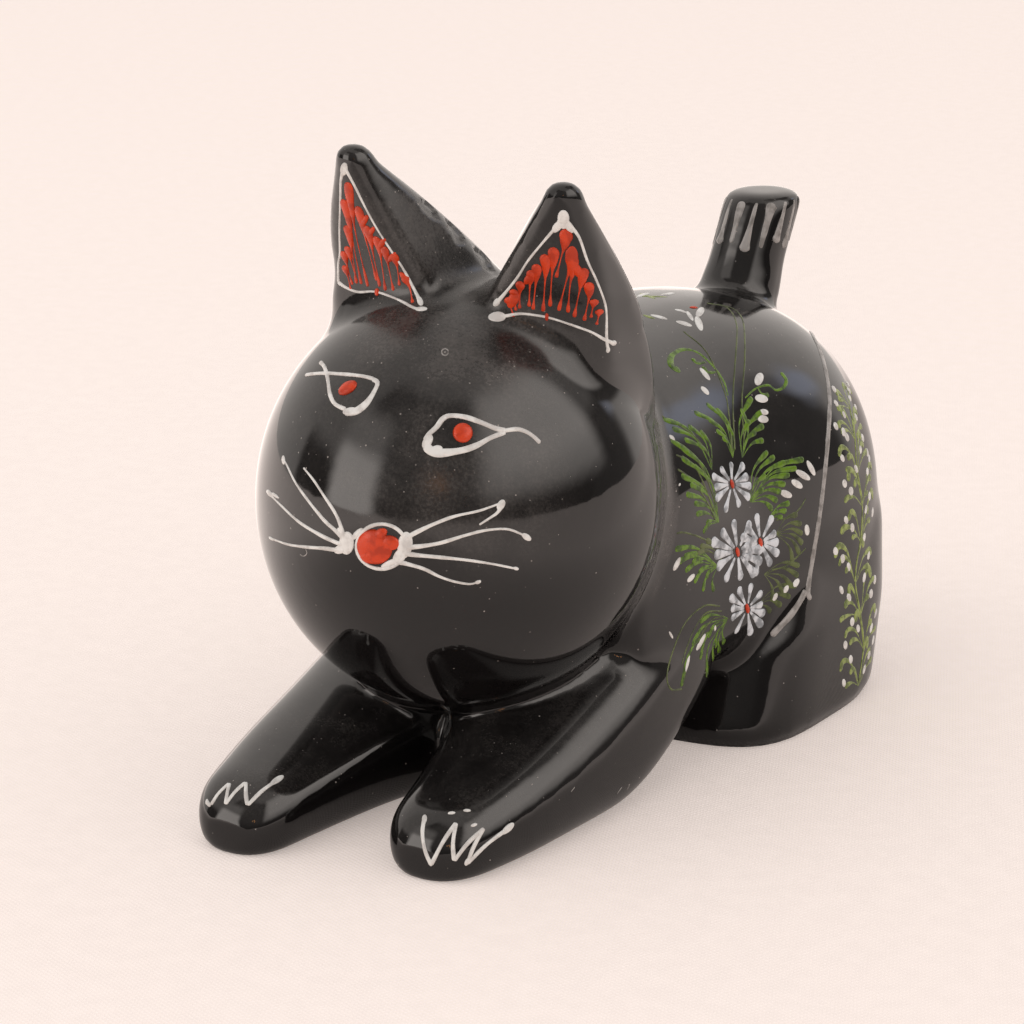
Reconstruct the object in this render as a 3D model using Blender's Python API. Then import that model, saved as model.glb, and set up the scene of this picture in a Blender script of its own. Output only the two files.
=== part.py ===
"""Small carved wooden cat, crouching with its forelegs stretched out in front.

The figure faces -Y, its left side is +X and up is +Z. It stands on z = 0 with the
origin under the middle of its outline. All sizes below are in millimetres. The forms
are placed from the crease between head and chest, and y grows towards the tail.
"""
import math

import bmesh
import bpy
from mathutils import Matrix, Vector

MM = 0.001

# Head: a ball, turned and tilted a little towards the cat's left
HEAD_RADIUS = 19.8
HEAD_UPPER_HEIGHT = 19.6
HEAD_LOWER_HEIGHT = 21.0
HEAD_JAW_POWER = 2.1
HEAD_AHEAD = 5.4
HEAD_ASIDE = 0.4
HEAD_CENTRE_HEIGHT = 30.6
HEAD_TURN = 7.5
HEAD_TILT = 5.5

# Ears: upright wedges with a flat front, a round outer side and a rear that slopes
# down to the neck. Heights are set out from the crown of the head. Tip and corners
# are shares of the head's radius, each as apart, back and rounding.
EAR_RISE = 14.6
EAR_BROW_DROP = 1.7
EAR_ROOT_DROP = 13.2
EAR_FOOT_RISE = 2.3
EAR_FOOT_FLARE = 1.2
EAR_REAR_SWELL = 0.9
EAR_TIP_TAPER = 24.0
EAR_TIP = (0.571, -0.313, 0.096)
EAR_INNER_FRONT = (0.177, -0.101, 0.096)
EAR_OUTER_FRONT = (0.596, 0.015, 0.106)
EAR_OUTER_REAR = (0.626, 0.328, 0.177)
EAR_INNER_REAR = (0.202, 0.434, 0.253)

# How far below the brow each corner keeps spreading, in the order above
EAR_ROOT_SHARES = (0.0, 0.0, -0.1, -0.5)

# Body: one run of rounded sections from chest to rump
BODY_FRONT = 1.0
BODY_REAR = 59.4
BODY_HALF_WIDTH = 18.0
BACK_HEIGHT = 43.2
BELLY_HEIGHT = 8.8
RUMP_END_RISE = 2.0
BACK_POWER = 2.3
BELLY_POWER = 5.0

# Hind legs: one block under the rump, flat below, squarer in front than behind
RUMP_OVERHANG = 5.4
HIND_LENGTH = 36.2
HIND_HALF_WIDTH = 22.2
HIND_EDGE = 1.2
HIND_TOP = 26.0
HIND_FRONT_LEAN = 0.4
HIND_REAR_LEAN = 0.2
HIND_FRONT_POWER = 5.0
HIND_REAR_POWER = 2.6
HAUNCH_INSET = 0.8

# Forelegs: flat on the floor, each tapering from the shoulder to a blunt paw
LEG_ROOT_BACK = 15.0
LEG_SHOULDER_HEIGHT = 15.4
LEG_SHOULDER_SWELL = 0.3
ELBOW_BACK = 1.0
PAW_HEIGHT = 6.2
PAW_LENGTH = 5.0
LEFT_PAW_REACH = 27.0
RIGHT_PAW_REACH = 31.3
PAW_INNER = 4.7
PAW_OUTER = 14.3
LEG_SINK = 0.6

# Tail: a short upright peg that leans back and a little to the cat's left
TAIL_DIAMETER = 8.4
TAIL_FROM_REAR = 7.9
TAIL_LEAN_BACK = 21.0
TAIL_LEAN_ASIDE = 5.0
TAIL_RISE = 7.4
TAIL_SINK = 9.2
TAIL_EDGE = 1.0

# Skin: the carved forms are blended and rounded over, as wood under thick lacquer
SKIN_STEP = 0.7
SKIN_SMOOTHING = 10
SKIN_TRIANGLES = 9000
SECTION_SIDES = 40
FLOOR_SINK = 2.0

LACQUER_COLOUR = (0.010, 0.009, 0.009, 1.0)
LACQUER_ROUGHNESS = 0.12

# Sizes that follow from the ones above
CROWN_HEIGHT = HEAD_CENTRE_HEIGHT + HEAD_UPPER_HEIGHT
HAUNCH_HALF_WIDTH = HIND_HALF_WIDTH - HAUNCH_INSET
HIND_REAR = BODY_REAR - RUMP_OVERHANG
HIND_FRONT = HIND_REAR - HIND_LENGTH
SHOULDER_HALF_WIDTH = BODY_HALF_WIDTH + LEG_SHOULDER_SWELL
FIGURE_LENGTH = BODY_REAR + RIGHT_PAW_REACH

# The origin lies under the middle of the whole figure
CENTRE_SHIFT = FIGURE_LENGTH / 2.0 - BODY_REAR

# Carved lines of the body, as shares of its length and of the size that each names
CHEST_WIDTHS = ((0.0, 0.94), (0.12, 1.0), (0.35, 1.055))
HAUNCH_WIDTHS = ((0.55, 1.0), (0.7, 1.0), (0.85, 0.84), (0.95, 0.55), (1.0, 0.19))
BACK_LINE = ((0.0, 0.95), (0.2, 0.99), (0.5, 1.0), (0.7, 0.972), (0.82, 0.917), (0.92, 0.81),
             (0.98, 0.67), (1.0, 0.58))
BELLY_LINE = ((0.0, 0.73), (0.15, 0.8), (0.32, 1.0), (0.55, 1.27), (0.8, 0.68), (0.9, 0.8),
              (0.97, 1.31), (1.0, 1.93))
CHEST_WIDEST = 0.58
HAUNCH_WIDEST = 0.417

# Carved lines of a foreleg, from behind the elbow (below 0) to the paw (1): the first
# two are shares of the paw's inner edge and of the shoulder's height. The next two
# run from the shoulder's size (0) to the paw's (1).
LEG_INNER_LINE = ((-0.6, -0.43), (0.1, -0.21), (0.5, 0.43), (0.8, 0.81), (1.0, 1.0))
LEG_LOW_LINE = ((-0.6, 0.558), (-0.4, 0.39), (-0.1, 0.091), (0.06, -0.013))
LEG_OUTER_LINE = ((-0.6, 0.2), (-0.3, 0.0), (0.1, 0.0), (0.6, 0.35), (1.0, 1.0))
LEG_TOP_LINE = ((-0.6, -0.39), (-0.2, -0.174), (0.1, 0.13), (0.5, 0.543), (0.85, 0.891), (1.0, 1.0))


def clear_scene():
    """Remove every object that the file opened with."""
    for item in list(bpy.data.objects):
        bpy.data.objects.remove(item, do_unlink=True)


def smooth_step(t):
    """Ease from 0 to 1."""
    t = min(max(t, 0.0), 1.0)
    return t * t * (3.0 - 2.0 * t)


def eased_floor(value, low, ease=0.2):
    """The value, held at a floor that it meets in a smooth curve."""
    above = value - low
    if above > ease:
        return value
    if above < -ease:
        return low
    return low + (above + ease) ** 2 / (4.0 * ease)


def along(stations, at):
    """Smooth value at a place between (place, value) stations."""
    if at <= stations[0][0]:
        return stations[0][1]
    for index in range(len(stations) - 1):
        (start, low), (end, high) = stations[index], stations[index + 1]
        if at <= end:
            before = stations[max(index - 1, 0)]
            after = stations[min(index + 2, len(stations) - 1)]
            slope_in = (high - before[1]) / (end - before[0])
            slope_out = (after[1] - low) / (after[0] - start)
            span = end - start
            t = (at - start) / span
            return ((2 * t**3 - 3 * t**2 + 1) * low + (t**3 - 2 * t**2 + t) * span * slope_in
                    + (-2 * t**3 + 3 * t**2) * high + (t**3 - t**2) * span * slope_out)
    return stations[-1][1]


def squircle(half_width, half_height, power, sides=SECTION_SIDES):
    """Points of a rounded rectangle about the origin, as (across, up) pairs."""
    points = []
    for side in range(sides):
        angle = 2.0 * math.pi * side / sides
        c, s = math.cos(angle), math.sin(angle)
        points.append((math.copysign(abs(c) ** (2.0 / power), c) * half_width,
                       math.copysign(abs(s) ** (2.0 / power), s) * half_height))
    return points


def add_loft(shape, rings):
    """Skin a run of equal rings and cap both ends."""
    rows = [[shape.verts.new(Vector(point) * MM) for point in ring] for ring in rings]
    count = len(rows[0])
    for lower, upper in zip(rows, rows[1:]):
        for i in range(count):
            j = (i + 1) % count
            shape.faces.new((lower[i], lower[j], upper[j], upper[i]))
    shape.faces.new(list(reversed(rows[0])))
    shape.faces.new(rows[-1])


def add_body(shape):
    """Torso and rump as one run of rounded sections from chest to rear."""
    widths = [(share, BODY_HALF_WIDTH * part) for share, part in CHEST_WIDTHS]
    widths += [(share, HAUNCH_HALF_WIDTH * part) for share, part in HAUNCH_WIDTHS]
    steps = 44
    rings = []
    for step in range(steps + 1):
        share = 1.0 - (1.0 - step / steps) ** 1.4
        y = BODY_FRONT + (BODY_REAR - BODY_FRONT) * share
        top = BACK_HEIGHT * along(BACK_LINE, share)
        bottom = BELLY_HEIGHT * along(BELLY_LINE, share)
        widest = BACK_HEIGHT * (CHEST_WIDEST + (HAUNCH_WIDEST - CHEST_WIDEST) * smooth_step(share * 1.8))
        widest = min(max(widest, bottom + RUMP_END_RISE), top - RUMP_END_RISE)
        width = along(widths, share)
        rounder = squircle(width, top - widest, BACK_POWER)
        squarer = squircle(width, widest - bottom, BELLY_POWER)
        section = [above if above[1] > 0.0 else below for above, below in zip(rounder, squarer)]
        rings.append([(x, y, widest + z) for x, z in section])
    add_loft(shape, rings)


def add_hind_block(shape):
    """Hind legs: a block under the rump with an eased lower edge."""
    levels = [(-FLOOR_SINK, HIND_EDGE)]
    for step in range(6):
        angle = math.pi / 2.0 * step / 5
        levels.append((HIND_EDGE * (1.0 - math.cos(angle)), HIND_EDGE * (1.0 - math.sin(angle))))
    levels += [(HIND_TOP * share, HIND_TOP * inset)
               for share, inset in ((0.4, 0.0), (0.7, 0.04), (0.9, 0.1), (1.0, 0.19))]
    rings = []
    for z, inset in levels:
        front = HIND_FRONT + inset + HIND_FRONT_LEAN * max(z - HIND_TOP * 0.15, 0.0)
        rear = HIND_REAR - inset + HIND_REAR_LEAN * max(z, 0.0)
        half_width, half_length = HIND_HALF_WIDTH - inset, (rear - front) / 2.0
        squarer = squircle(half_width, half_length, HIND_FRONT_POWER)
        rounder = squircle(half_width, half_length, HIND_REAR_POWER)
        plan = [ahead if ahead[1] < 0.0 else behind for ahead, behind in zip(squarer, rounder)]
        rings.append([(x, (front + rear) / 2.0 + y, z) for x, y in plan])
    add_loft(shape, rings)


def add_foreleg(shape, side, reach):
    """One foreleg from the root inside the body to the paw, side +1 for the cat's left."""
    low_line = [(share, LEG_SHOULDER_HEIGHT * part) for share, part in LEG_LOW_LINE]
    low_line += [(0.2, -LEG_SINK), (1.0, -LEG_SINK)]
    steps = 46
    rings = []
    for step in range(steps + 1):
        share = math.sin(math.pi / 2.0 * step / steps)
        y = LEG_ROOT_BACK - (LEG_ROOT_BACK + reach) * share
        ahead = (ELBOW_BACK - y) / (ELBOW_BACK + reach)
        inner = PAW_INNER * along(LEG_INNER_LINE, ahead)
        outer = SHOULDER_HALF_WIDTH + (PAW_OUTER - SHOULDER_HALF_WIDTH) * along(LEG_OUTER_LINE, ahead)
        top = LEG_SHOULDER_HEIGHT + (PAW_HEIGHT - LEG_SHOULDER_HEIGHT) * along(LEG_TOP_LINE, ahead)
        low = along(low_line, ahead)
        blunt = max(PAW_LENGTH - (reach + y), 0.0) / PAW_LENGTH
        nose = math.sqrt(max(1.0 - blunt ** 2.4, 0.0))
        half = (outer - inner) / 2.0 * (0.3 + 0.7 * nose)
        rise = (top - low) / 2.0 * (0.35 + 0.65 * nose)
        middle_z = low + rise + PAW_HEIGHT * 0.145 * (1.0 - nose)
        section = squircle(half, rise, 3.0 + 1.5 * smooth_step(0.5 - ahead))
        rings.append([(side * ((inner + outer) / 2.0 + x), y, middle_z + z) for x, z in section])
    if side < 0:
        rings = [list(reversed(ring)) for ring in rings]
    add_loft(shape, [list(reversed(ring)) for ring in rings])


def hull_of_circles(circles, sides=SECTION_SIDES):
    """Outline stretched round circles given as (x, y, radius), counter-clockwise."""
    outline = []
    for side in range(sides):
        angle = 2.0 * math.pi * (side + 0.5) / sides
        c, s = math.cos(angle), math.sin(angle)
        x, y, radius = max(circles, key=lambda circle: circle[0] * c + circle[1] * s + circle[2])
        outline.append((x + radius * c, y + radius * s))
    return outline


def add_ear(shape, side):
    """One ear in the head's own frame, side +1 for the cat's left."""
    tip = Vector(EAR_TIP) * HEAD_RADIUS
    tip_z = CROWN_HEIGHT + EAR_RISE - tip.z * 0.65
    root_z = CROWN_HEIGHT - EAR_ROOT_DROP
    brow_z = CROWN_HEIGHT - EAR_BROW_DROP
    foot_z = CROWN_HEIGHT + EAR_FOOT_RISE
    corners = [Vector(corner) * HEAD_RADIUS
               for corner in (EAR_INNER_FRONT, EAR_OUTER_FRONT, EAR_OUTER_REAR, EAR_INNER_REAR)]
    steps = 24
    rings = []
    for step in range(steps + 1):
        z = root_z + (tip_z - root_z) * step / steps
        share = min((z - brow_z) / (tip_z - brow_z), 0.98)
        circles = [corner.lerp(tip, eased_floor(share, low))
                   for corner, low in zip(corners, EAR_ROOT_SHARES)]
        circles[3].z += EAR_REAR_SWELL * math.sin(math.pi * max(share, 0.0))
        foot = min(max((foot_z - z) / (foot_z - brow_z), 0.0), 1.0)
        for front in circles[:2]:
            front.z += EAR_FOOT_FLARE * foot ** 2
        rings.append([(side * x, y, z) for x, y in hull_of_circles(circles)])
    last = rings[-1]
    start = math.radians(EAR_TIP_TAPER)
    for step in range(1, 5):
        angle = start + (math.pi / 2.0 - start) * step / 5
        size = math.cos(angle) / math.cos(start)
        rise = tip.z * (math.sin(angle) - math.sin(start)) / math.cos(start)
        rings.append([(side * tip.x + (x - side * tip.x) * size, tip.y + (y - tip.y) * size, z + rise)
                      for x, y, z in last])
    if side < 0:
        rings = [list(reversed(ring)) for ring in rings]
    add_loft(shape, rings)


def add_head(shape):
    """Ball and ears, turned and tilted about the middle of the ball."""
    head = bmesh.new()
    bmesh.ops.create_uvsphere(head, u_segments=48, v_segments=32, radius=1.0)
    for vert in head.verts:
        upper = vert.co.z > 0.0
        power = 2.0 if upper else HEAD_JAW_POWER
        height = HEAD_UPPER_HEIGHT if upper else HEAD_LOWER_HEIGHT
        swell = max(math.hypot(vert.co.x, vert.co.y), 1e-6) ** (2.0 / power - 1.0) * HEAD_RADIUS
        rise = math.copysign(abs(vert.co.z) ** (2.0 / power), vert.co.z) * height
        vert.co = Vector((vert.co.x * swell, vert.co.y * swell, HEAD_CENTRE_HEIGHT + rise)) * MM
    for side in (1, -1):
        add_ear(head, side)
    pivot = Vector((0.0, 0.0, HEAD_CENTRE_HEIGHT)) * MM
    turn = Matrix.Rotation(math.radians(HEAD_TURN), 4, 'Z')
    turn = turn @ Matrix.Rotation(math.radians(HEAD_TILT), 4, 'Y')
    place = Matrix.Translation(pivot + Vector((HEAD_ASIDE, -HEAD_AHEAD, 0.0)) * MM)
    bmesh.ops.transform(head, matrix=place @ turn @ Matrix.Translation(-pivot), verts=head.verts)
    holder = bpy.data.meshes.new("head_form")
    head.to_mesh(holder)
    head.free()
    shape.from_mesh(holder)
    bpy.data.meshes.remove(holder)


def add_tail(shape):
    """Short peg with a flared foot and an eased top edge, leaning back."""
    radius = TAIL_DIAMETER / 2.0
    back = math.tan(math.radians(TAIL_LEAN_BACK))
    aside = math.tan(math.radians(TAIL_LEAN_ASIDE))
    root, top = BACK_HEIGHT - TAIL_SINK, BACK_HEIGHT + TAIL_RISE
    skin = root + TAIL_SINK * 0.65
    levels = [(root, radius * 1.15), (skin, radius * 1.1), (BACK_HEIGHT, radius), (top - TAIL_EDGE, radius)]
    for step in range(1, 5):
        angle = math.pi / 2.0 * step / 4
        levels.append((top - TAIL_EDGE + TAIL_EDGE * math.sin(angle),
                       radius - TAIL_EDGE + TAIL_EDGE * math.cos(angle)))
    rings = []
    for z, size in levels:
        y = BODY_REAR - TAIL_FROM_REAR + (z - skin) * back
        rings.append([(x + (z - skin) * aside, y + across, z)
                      for x, across in squircle(size, size, 2.0, 28)])
    add_loft(shape, rings)


def cat_mesh():
    """All forms of the carving in one mesh, still overlapping."""
    shape = bmesh.new()
    add_body(shape)
    add_hind_block(shape)
    add_foreleg(shape, 1, LEFT_PAW_REACH)
    add_foreleg(shape, -1, RIGHT_PAW_REACH)
    add_head(shape)
    add_tail(shape)
    centre = Matrix.Translation((0.0, CENTRE_SHIFT * MM, 0.0))
    bmesh.ops.transform(shape, matrix=centre, verts=shape.verts)
    bmesh.ops.recalc_face_normals(shape, faces=shape.faces)
    mesh = bpy.data.meshes.new("cat_figure")
    shape.to_mesh(mesh)
    shape.free()
    return mesh


def floor_cutter():
    """Block under the floor that gives the figure its flat underside."""
    width, length, depth = 4.0 * HIND_HALF_WIDTH, 2.0 * FIGURE_LENGTH, 10.0 * FLOOR_SINK
    bpy.ops.mesh.primitive_cube_add(size=1.0, location=(0.0, 0.0, -depth / 2.0 * MM))
    cutter = bpy.context.object
    cutter.name = "floor_cutter"
    cutter.scale = (width * MM, length * MM, depth * MM)
    cutter.hide_render = True
    cutter.display_type = 'WIRE'
    return cutter


def lacquer():
    """Black gloss lacquer over wood."""
    material = bpy.data.materials.new("black_lacquered_wood")
    material.use_nodes = True
    shader = material.node_tree.nodes["Principled BSDF"]
    shader.inputs["Base Color"].default_value = LACQUER_COLOUR
    shader.inputs["Roughness"].default_value = LACQUER_ROUGHNESS
    shader.inputs["Metallic"].default_value = 0.0
    return material


def add_modifier(item, kind, **settings):
    """Add a modifier with its settings."""
    modifier = item.modifiers.new(kind.lower(), kind)
    for key, value in settings.items():
        setattr(modifier, key, value)
    return modifier


def build_cat():
    """The whole figure: one carved piece."""
    cat = bpy.data.objects.new("cat_figure", cat_mesh())
    bpy.context.collection.objects.link(cat)
    cat.data.materials.append(lacquer())
    add_modifier(cat, 'REMESH', mode='VOXEL', voxel_size=SKIN_STEP * MM, use_smooth_shade=True)
    add_modifier(cat, 'SMOOTH', factor=0.5, iterations=SKIN_SMOOTHING)
    bpy.context.view_layer.update()
    evaluated = cat.evaluated_get(bpy.context.evaluated_depsgraph_get())
    triangles = sum(len(face.vertices) - 2 for face in evaluated.data.polygons)
    add_modifier(cat, 'DECIMATE', ratio=SKIN_TRIANGLES / triangles)
    add_modifier(cat, 'BOOLEAN', operation='DIFFERENCE', solver='EXACT', object=floor_cutter())
    return cat


clear_scene()
build_cat()
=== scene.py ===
"""Looks of a small carved wooden cat in black gloss lacquer, painted by hand.

The cat faces -Y, its left side is +X and up is +Z. Sizes of the carving are in
millimetres. Brush strokes that the photograph shows are placed by its pixels and then
laid on the carving itself, so that they sit on the wood from every side.
"""
import logging
import math
from dataclasses import dataclass, field
from enum import Enum
from functools import partial
from typing import Callable

import bmesh
import bpy
import numpy as np
from mathutils import Matrix, Vector
from mathutils.bvhtree import BVHTree


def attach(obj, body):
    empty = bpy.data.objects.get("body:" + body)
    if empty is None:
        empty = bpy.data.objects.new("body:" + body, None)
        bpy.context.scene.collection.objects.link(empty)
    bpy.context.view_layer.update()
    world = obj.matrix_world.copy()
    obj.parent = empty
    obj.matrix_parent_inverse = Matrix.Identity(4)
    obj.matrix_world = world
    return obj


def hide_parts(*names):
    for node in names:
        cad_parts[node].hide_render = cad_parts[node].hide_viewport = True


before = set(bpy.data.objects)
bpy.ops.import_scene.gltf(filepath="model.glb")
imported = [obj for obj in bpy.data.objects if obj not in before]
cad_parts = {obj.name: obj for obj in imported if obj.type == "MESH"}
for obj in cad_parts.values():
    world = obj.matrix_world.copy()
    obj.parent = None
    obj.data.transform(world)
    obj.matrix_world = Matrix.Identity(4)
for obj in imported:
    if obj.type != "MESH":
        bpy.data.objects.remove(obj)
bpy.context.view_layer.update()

MM = 0.001
BODY = "root"
PICTURE_SIDE = 1024

Pixel = tuple[float, float]
Section = list[tuple[float, float, float]]
Stations = tuple[tuple[float, float], ...]
Socket = bpy.types.NodeSocket
Tree = bpy.types.NodeTree

SMOOTH = {"interpolation_type": 'SMOOTHSTEP'}

log = logging.getLogger("cat")


# Small helpers

def linear(code: str) -> tuple[float, float, float, float]:
    """Turn an sRGB hex colour into a linear one.

    Args:
        code: the colour as #rrggbb.

    Returns:
        Red, green, blue and an alpha of 1.
    """
    shares = [int(code[i:i + 2], 16) / 255.0 for i in (1, 3, 5)]
    red, green, blue = (s / 12.92 if s <= 0.04045 else ((s + 0.055) / 1.055) ** 2.4 for s in shares)
    return red, green, blue, 1.0


def feed(tree: Tree, node: bpy.types.Node, inputs: dict | tuple) -> None:
    """Set or link the sockets of a node.

    Args:
        tree: the node tree that holds it.
        node: the node.
        inputs: a value or the output that feeds each socket, by name or number, or in their order.
    """
    for name, value in (inputs if isinstance(inputs, dict) else dict(enumerate(inputs))).items():
        if isinstance(value, Socket):
            tree.links.new(value, node.inputs[name])
        else:
            node.inputs[name].default_value = value


def add_node(tree: Tree, kind: str, inputs: dict | tuple = (), output: int | str = 0,
             **settings) -> Socket | None:
    """Add a shader node with its settings and links.

    Args:
        tree: the node tree that takes the node.
        kind: the node's type without its ShaderNode prefix.
        inputs: what its sockets take.
        output: the output that is asked for.
        settings: its properties, by name.

    Returns:
        That output, or None where the node has no outputs.
    """
    node = tree.nodes.new("ShaderNode" + kind)
    for name, value in settings.items():
        setattr(node, name, value)
    feed(tree, node, inputs)
    return node.outputs[output] if node.outputs else None


def new_material(name: str) -> tuple[bpy.types.Material, Tree, bpy.types.Node]:
    """Make a node material.

    Args:
        name: its name.

    Returns:
        The material, its tree and its Principled shader.
    """
    material = bpy.data.materials.new(name)
    material.use_nodes = True
    return material, material.node_tree, material.node_tree.nodes["Principled BSDF"]


def deselect() -> None:
    """Clear the selection, which is full when the frame has been loaded."""
    bpy.ops.object.select_all(action='DESELECT')


def select_only(items: list[bpy.types.Object]) -> None:
    """Select some objects and nothing else.

    Args:
        items: the objects; the first becomes the active one.
    """
    deselect()
    for item in items:
        item.select_set(True)
    bpy.context.view_layer.objects.active = items[0]


def direction(azimuth: float, elevation: float) -> Vector:
    """Give the direction at an angle round from the front, towards +X, and an angle up, in degrees."""
    a, e = math.radians(azimuth), math.radians(elevation)
    return Vector((math.sin(a) * math.cos(e), -math.cos(a) * math.cos(e), math.sin(e)))


def smooth_step(t: float) -> float:
    """Ease from 0 to 1."""
    t = min(max(t, 0.0), 1.0)
    return t * t * (3.0 - 2.0 * t)


def eased_floor(value: float, low: float, ease: float = 0.2) -> float:
    """Hold a value at a floor that it meets in a smooth curve.

    Args:
        value: the value.
        low: the floor.
        ease: how far on both sides of the floor the curve reaches.

    Returns:
        The held value.
    """
    above = value - low
    if above > ease:
        return value
    return low if above < -ease else low + (above + ease) ** 2 / (4.0 * ease)


def along(stations: Stations, at: float) -> float:
    """Give the smooth value at a place between stations.

    Args:
        stations: pairs of place and value, in order of place.
        at: the place asked for.

    Returns:
        The value there, held at the first and last stations.
    """
    if at <= stations[0][0]:
        return stations[0][1]
    for index in range(len(stations) - 1):
        (start, low), (end, high) = stations[index], stations[index + 1]
        if at <= end:
            before = stations[max(index - 1, 0)]
            after = stations[min(index + 2, len(stations) - 1)]
            slope_in = (high - before[1]) / (end - before[0]) * (end - start)
            slope_out = (after[1] - low) / (after[0] - start) * (end - start)
            t = (at - start) / (end - start)
            return ((2 * t**3 - 3 * t**2 + 1) * low + (t**3 - 2 * t**2 + t) * slope_in
                    + (-2 * t**3 + 3 * t**2) * high + (t**3 - t**2) * slope_out)
    return stations[-1][1]


def squircle(half_width: float, half_height: float, power: float, sides: int = 56) -> list[Pixel]:
    """Give the points of a rounded rectangle about the origin.

    Args:
        half_width: its reach across.
        half_height: its reach up.
        power: 2 for an ellipse, more for squarer corners.
        sides: the number of points.

    Returns:
        The points, as across and up.
    """
    points = []
    for side in range(sides):
        angle = 2.0 * math.pi * side / sides
        c, s = math.cos(angle), math.sin(angle)
        points.append((math.copysign(abs(c) ** (2.0 / power), c) * half_width,
                       math.copysign(abs(s) ** (2.0 / power), s) * half_height))
    return points


def draw_out(name: str, rings: list[Section], scale: float = MM) -> bpy.types.Object:
    """Draw a closed form out from ring to ring, by extruding a filled circle.

    Args:
        name: the form's name.
        rings: sections with equal numbers of points, in order along the form.
        scale: what turns the rings' unit into metres.

    Returns:
        The form as an object at the origin.
    """
    deselect()
    bpy.ops.mesh.primitive_circle_add(vertices=len(rings[0]), radius=MM, fill_type='NGON')
    form = bpy.context.object
    form.name = name
    bpy.ops.object.mode_set(mode='EDIT')
    last = None
    for number, ring in enumerate(rings):
        if number:
            bpy.ops.mesh.extrude_region_move()
        shape = bmesh.from_edit_mesh(form.data)
        places = np.array(ring) * scale
        if last is None:
            shape.verts.ensure_lookup_table()
            order = range(len(ring))
            verts = list(shape.verts)
        else:
            verts = [vert for vert in shape.verts if vert.select]
            spots = np.array([vert.co for vert in verts])
            order = np.argmin(((spots[:, None, :] - last[None]) ** 2).sum(axis=2), axis=1)
        for vert, index in zip(verts, order):
            vert.co = places[index]
        bmesh.update_edit_mesh(form.data)
        last = places
    bpy.ops.mesh.select_all(action='SELECT')
    bpy.ops.mesh.normals_make_consistent(inside=False)
    bpy.ops.object.mode_set(mode='OBJECT')
    return form


# Carving

@dataclass
class Torso:
    """Torso and rump: one run of rounded sections from chest to rear."""

    front: float = 1.0
    rear: float = 59.4
    half_width: float = 18.0
    haunch_half_width: float = 21.4
    back_height: float = 43.2
    belly_height: float = 8.8
    end_rise: float = 2.0
    back_power: float = 2.3
    belly_power: float = 5.0
    chest_widest: float = 0.58
    haunch_widest: float = 0.417
    chest_widths: Stations = ((0.0, 0.94), (0.12, 1.0), (0.35, 1.055))
    haunch_widths: Stations = ((0.55, 1.0), (0.7, 1.0), (0.85, 0.84), (0.95, 0.55), (1.0, 0.19))
    back_line: Stations = ((0.0, 0.95), (0.2, 0.99), (0.5, 1.0), (0.7, 0.972), (0.82, 0.917),
                           (0.92, 0.81), (0.98, 0.67), (1.0, 0.58))
    belly_line: Stations = ((0.0, 0.73), (0.15, 0.8), (0.32, 1.0), (0.55, 1.27), (0.8, 0.68),
                            (0.9, 0.8), (0.97, 1.31), (1.0, 1.93))
    lowering_pace: float = 1.8
    steps: int = 60
    step_power: float = 1.4

    def section(self, share: float) -> Section:
        """Give the torso's section.

        Args:
            share: the place, as a share of its length from the chest.

        Returns:
            The section's points.
        """
        widths = tuple((place, self.half_width * part) for place, part in self.chest_widths)
        widths += tuple((place, self.haunch_half_width * part) for place, part in self.haunch_widths)
        top = self.back_height * along(self.back_line, share)
        bottom = self.belly_height * along(self.belly_line, share)
        lowering = (self.haunch_widest - self.chest_widest) * smooth_step(share * self.lowering_pace)
        widest = self.back_height * (self.chest_widest + lowering)
        widest = min(max(widest, bottom + self.end_rise), top - self.end_rise)
        width = along(widths, share)
        rounder = squircle(width, top - widest, self.back_power)
        squarer = squircle(width, widest - bottom, self.belly_power)
        y = self.front + (self.rear - self.front) * share
        return [(above[0], y, widest + above[1]) if above[1] > 0.0 else (below[0], y, widest + below[1])
                for above, below in zip(rounder, squarer)]

    def build(self) -> bpy.types.Object:
        """Draw the torso out from chest to rear."""
        shares = [1.0 - (1.0 - step / self.steps) ** self.step_power for step in range(self.steps + 1)]
        return draw_out("torso", [self.section(share) for share in shares])


@dataclass
class HindLegs:
    """Hind legs: one block under the rump, squarer in front than behind."""

    rear: float = 54.0
    length: float = 36.2
    half_width: float = 22.2
    edge: float = 1.2
    top: float = 26.0
    sink: float = 2.0
    front_lean: float = 0.4
    rear_lean: float = 0.2
    front_power: float = 5.0
    rear_power: float = 2.6
    edge_steps: int = 8
    lean_start: float = 0.15
    upper: Stations = ((0.4, 0.0), (0.7, 0.04), (0.9, 0.1), (1.0, 0.19))

    def build(self) -> bpy.types.Object:
        """Draw the block up from the floor, with an eased lower edge.

        Returns:
            The block.
        """
        levels = [(-self.sink, self.edge)]
        for step in range(self.edge_steps + 1):
            angle = math.pi / 2.0 * step / self.edge_steps
            levels.append((self.edge * (1.0 - math.cos(angle)), self.edge * (1.0 - math.sin(angle))))
        levels += [(self.top * share, self.top * inset) for share, inset in self.upper]
        rings = []
        for z, inset in levels:
            lean = self.front_lean * max(z - self.top * self.lean_start, 0.0)
            front = self.rear - self.length + inset + lean
            rear = self.rear - inset + self.rear_lean * max(z, 0.0)
            half_width, half_length = self.half_width - inset, (rear - front) / 2.0
            squarer = squircle(half_width, half_length, self.front_power)
            rounder = squircle(half_width, half_length, self.rear_power)
            plan = [ahead if ahead[1] < 0.0 else behind for ahead, behind in zip(squarer, rounder)]
            rings.append([(x, (front + rear) / 2.0 + y, z) for x, y in plan])
        return draw_out("hind_legs", rings)


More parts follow.
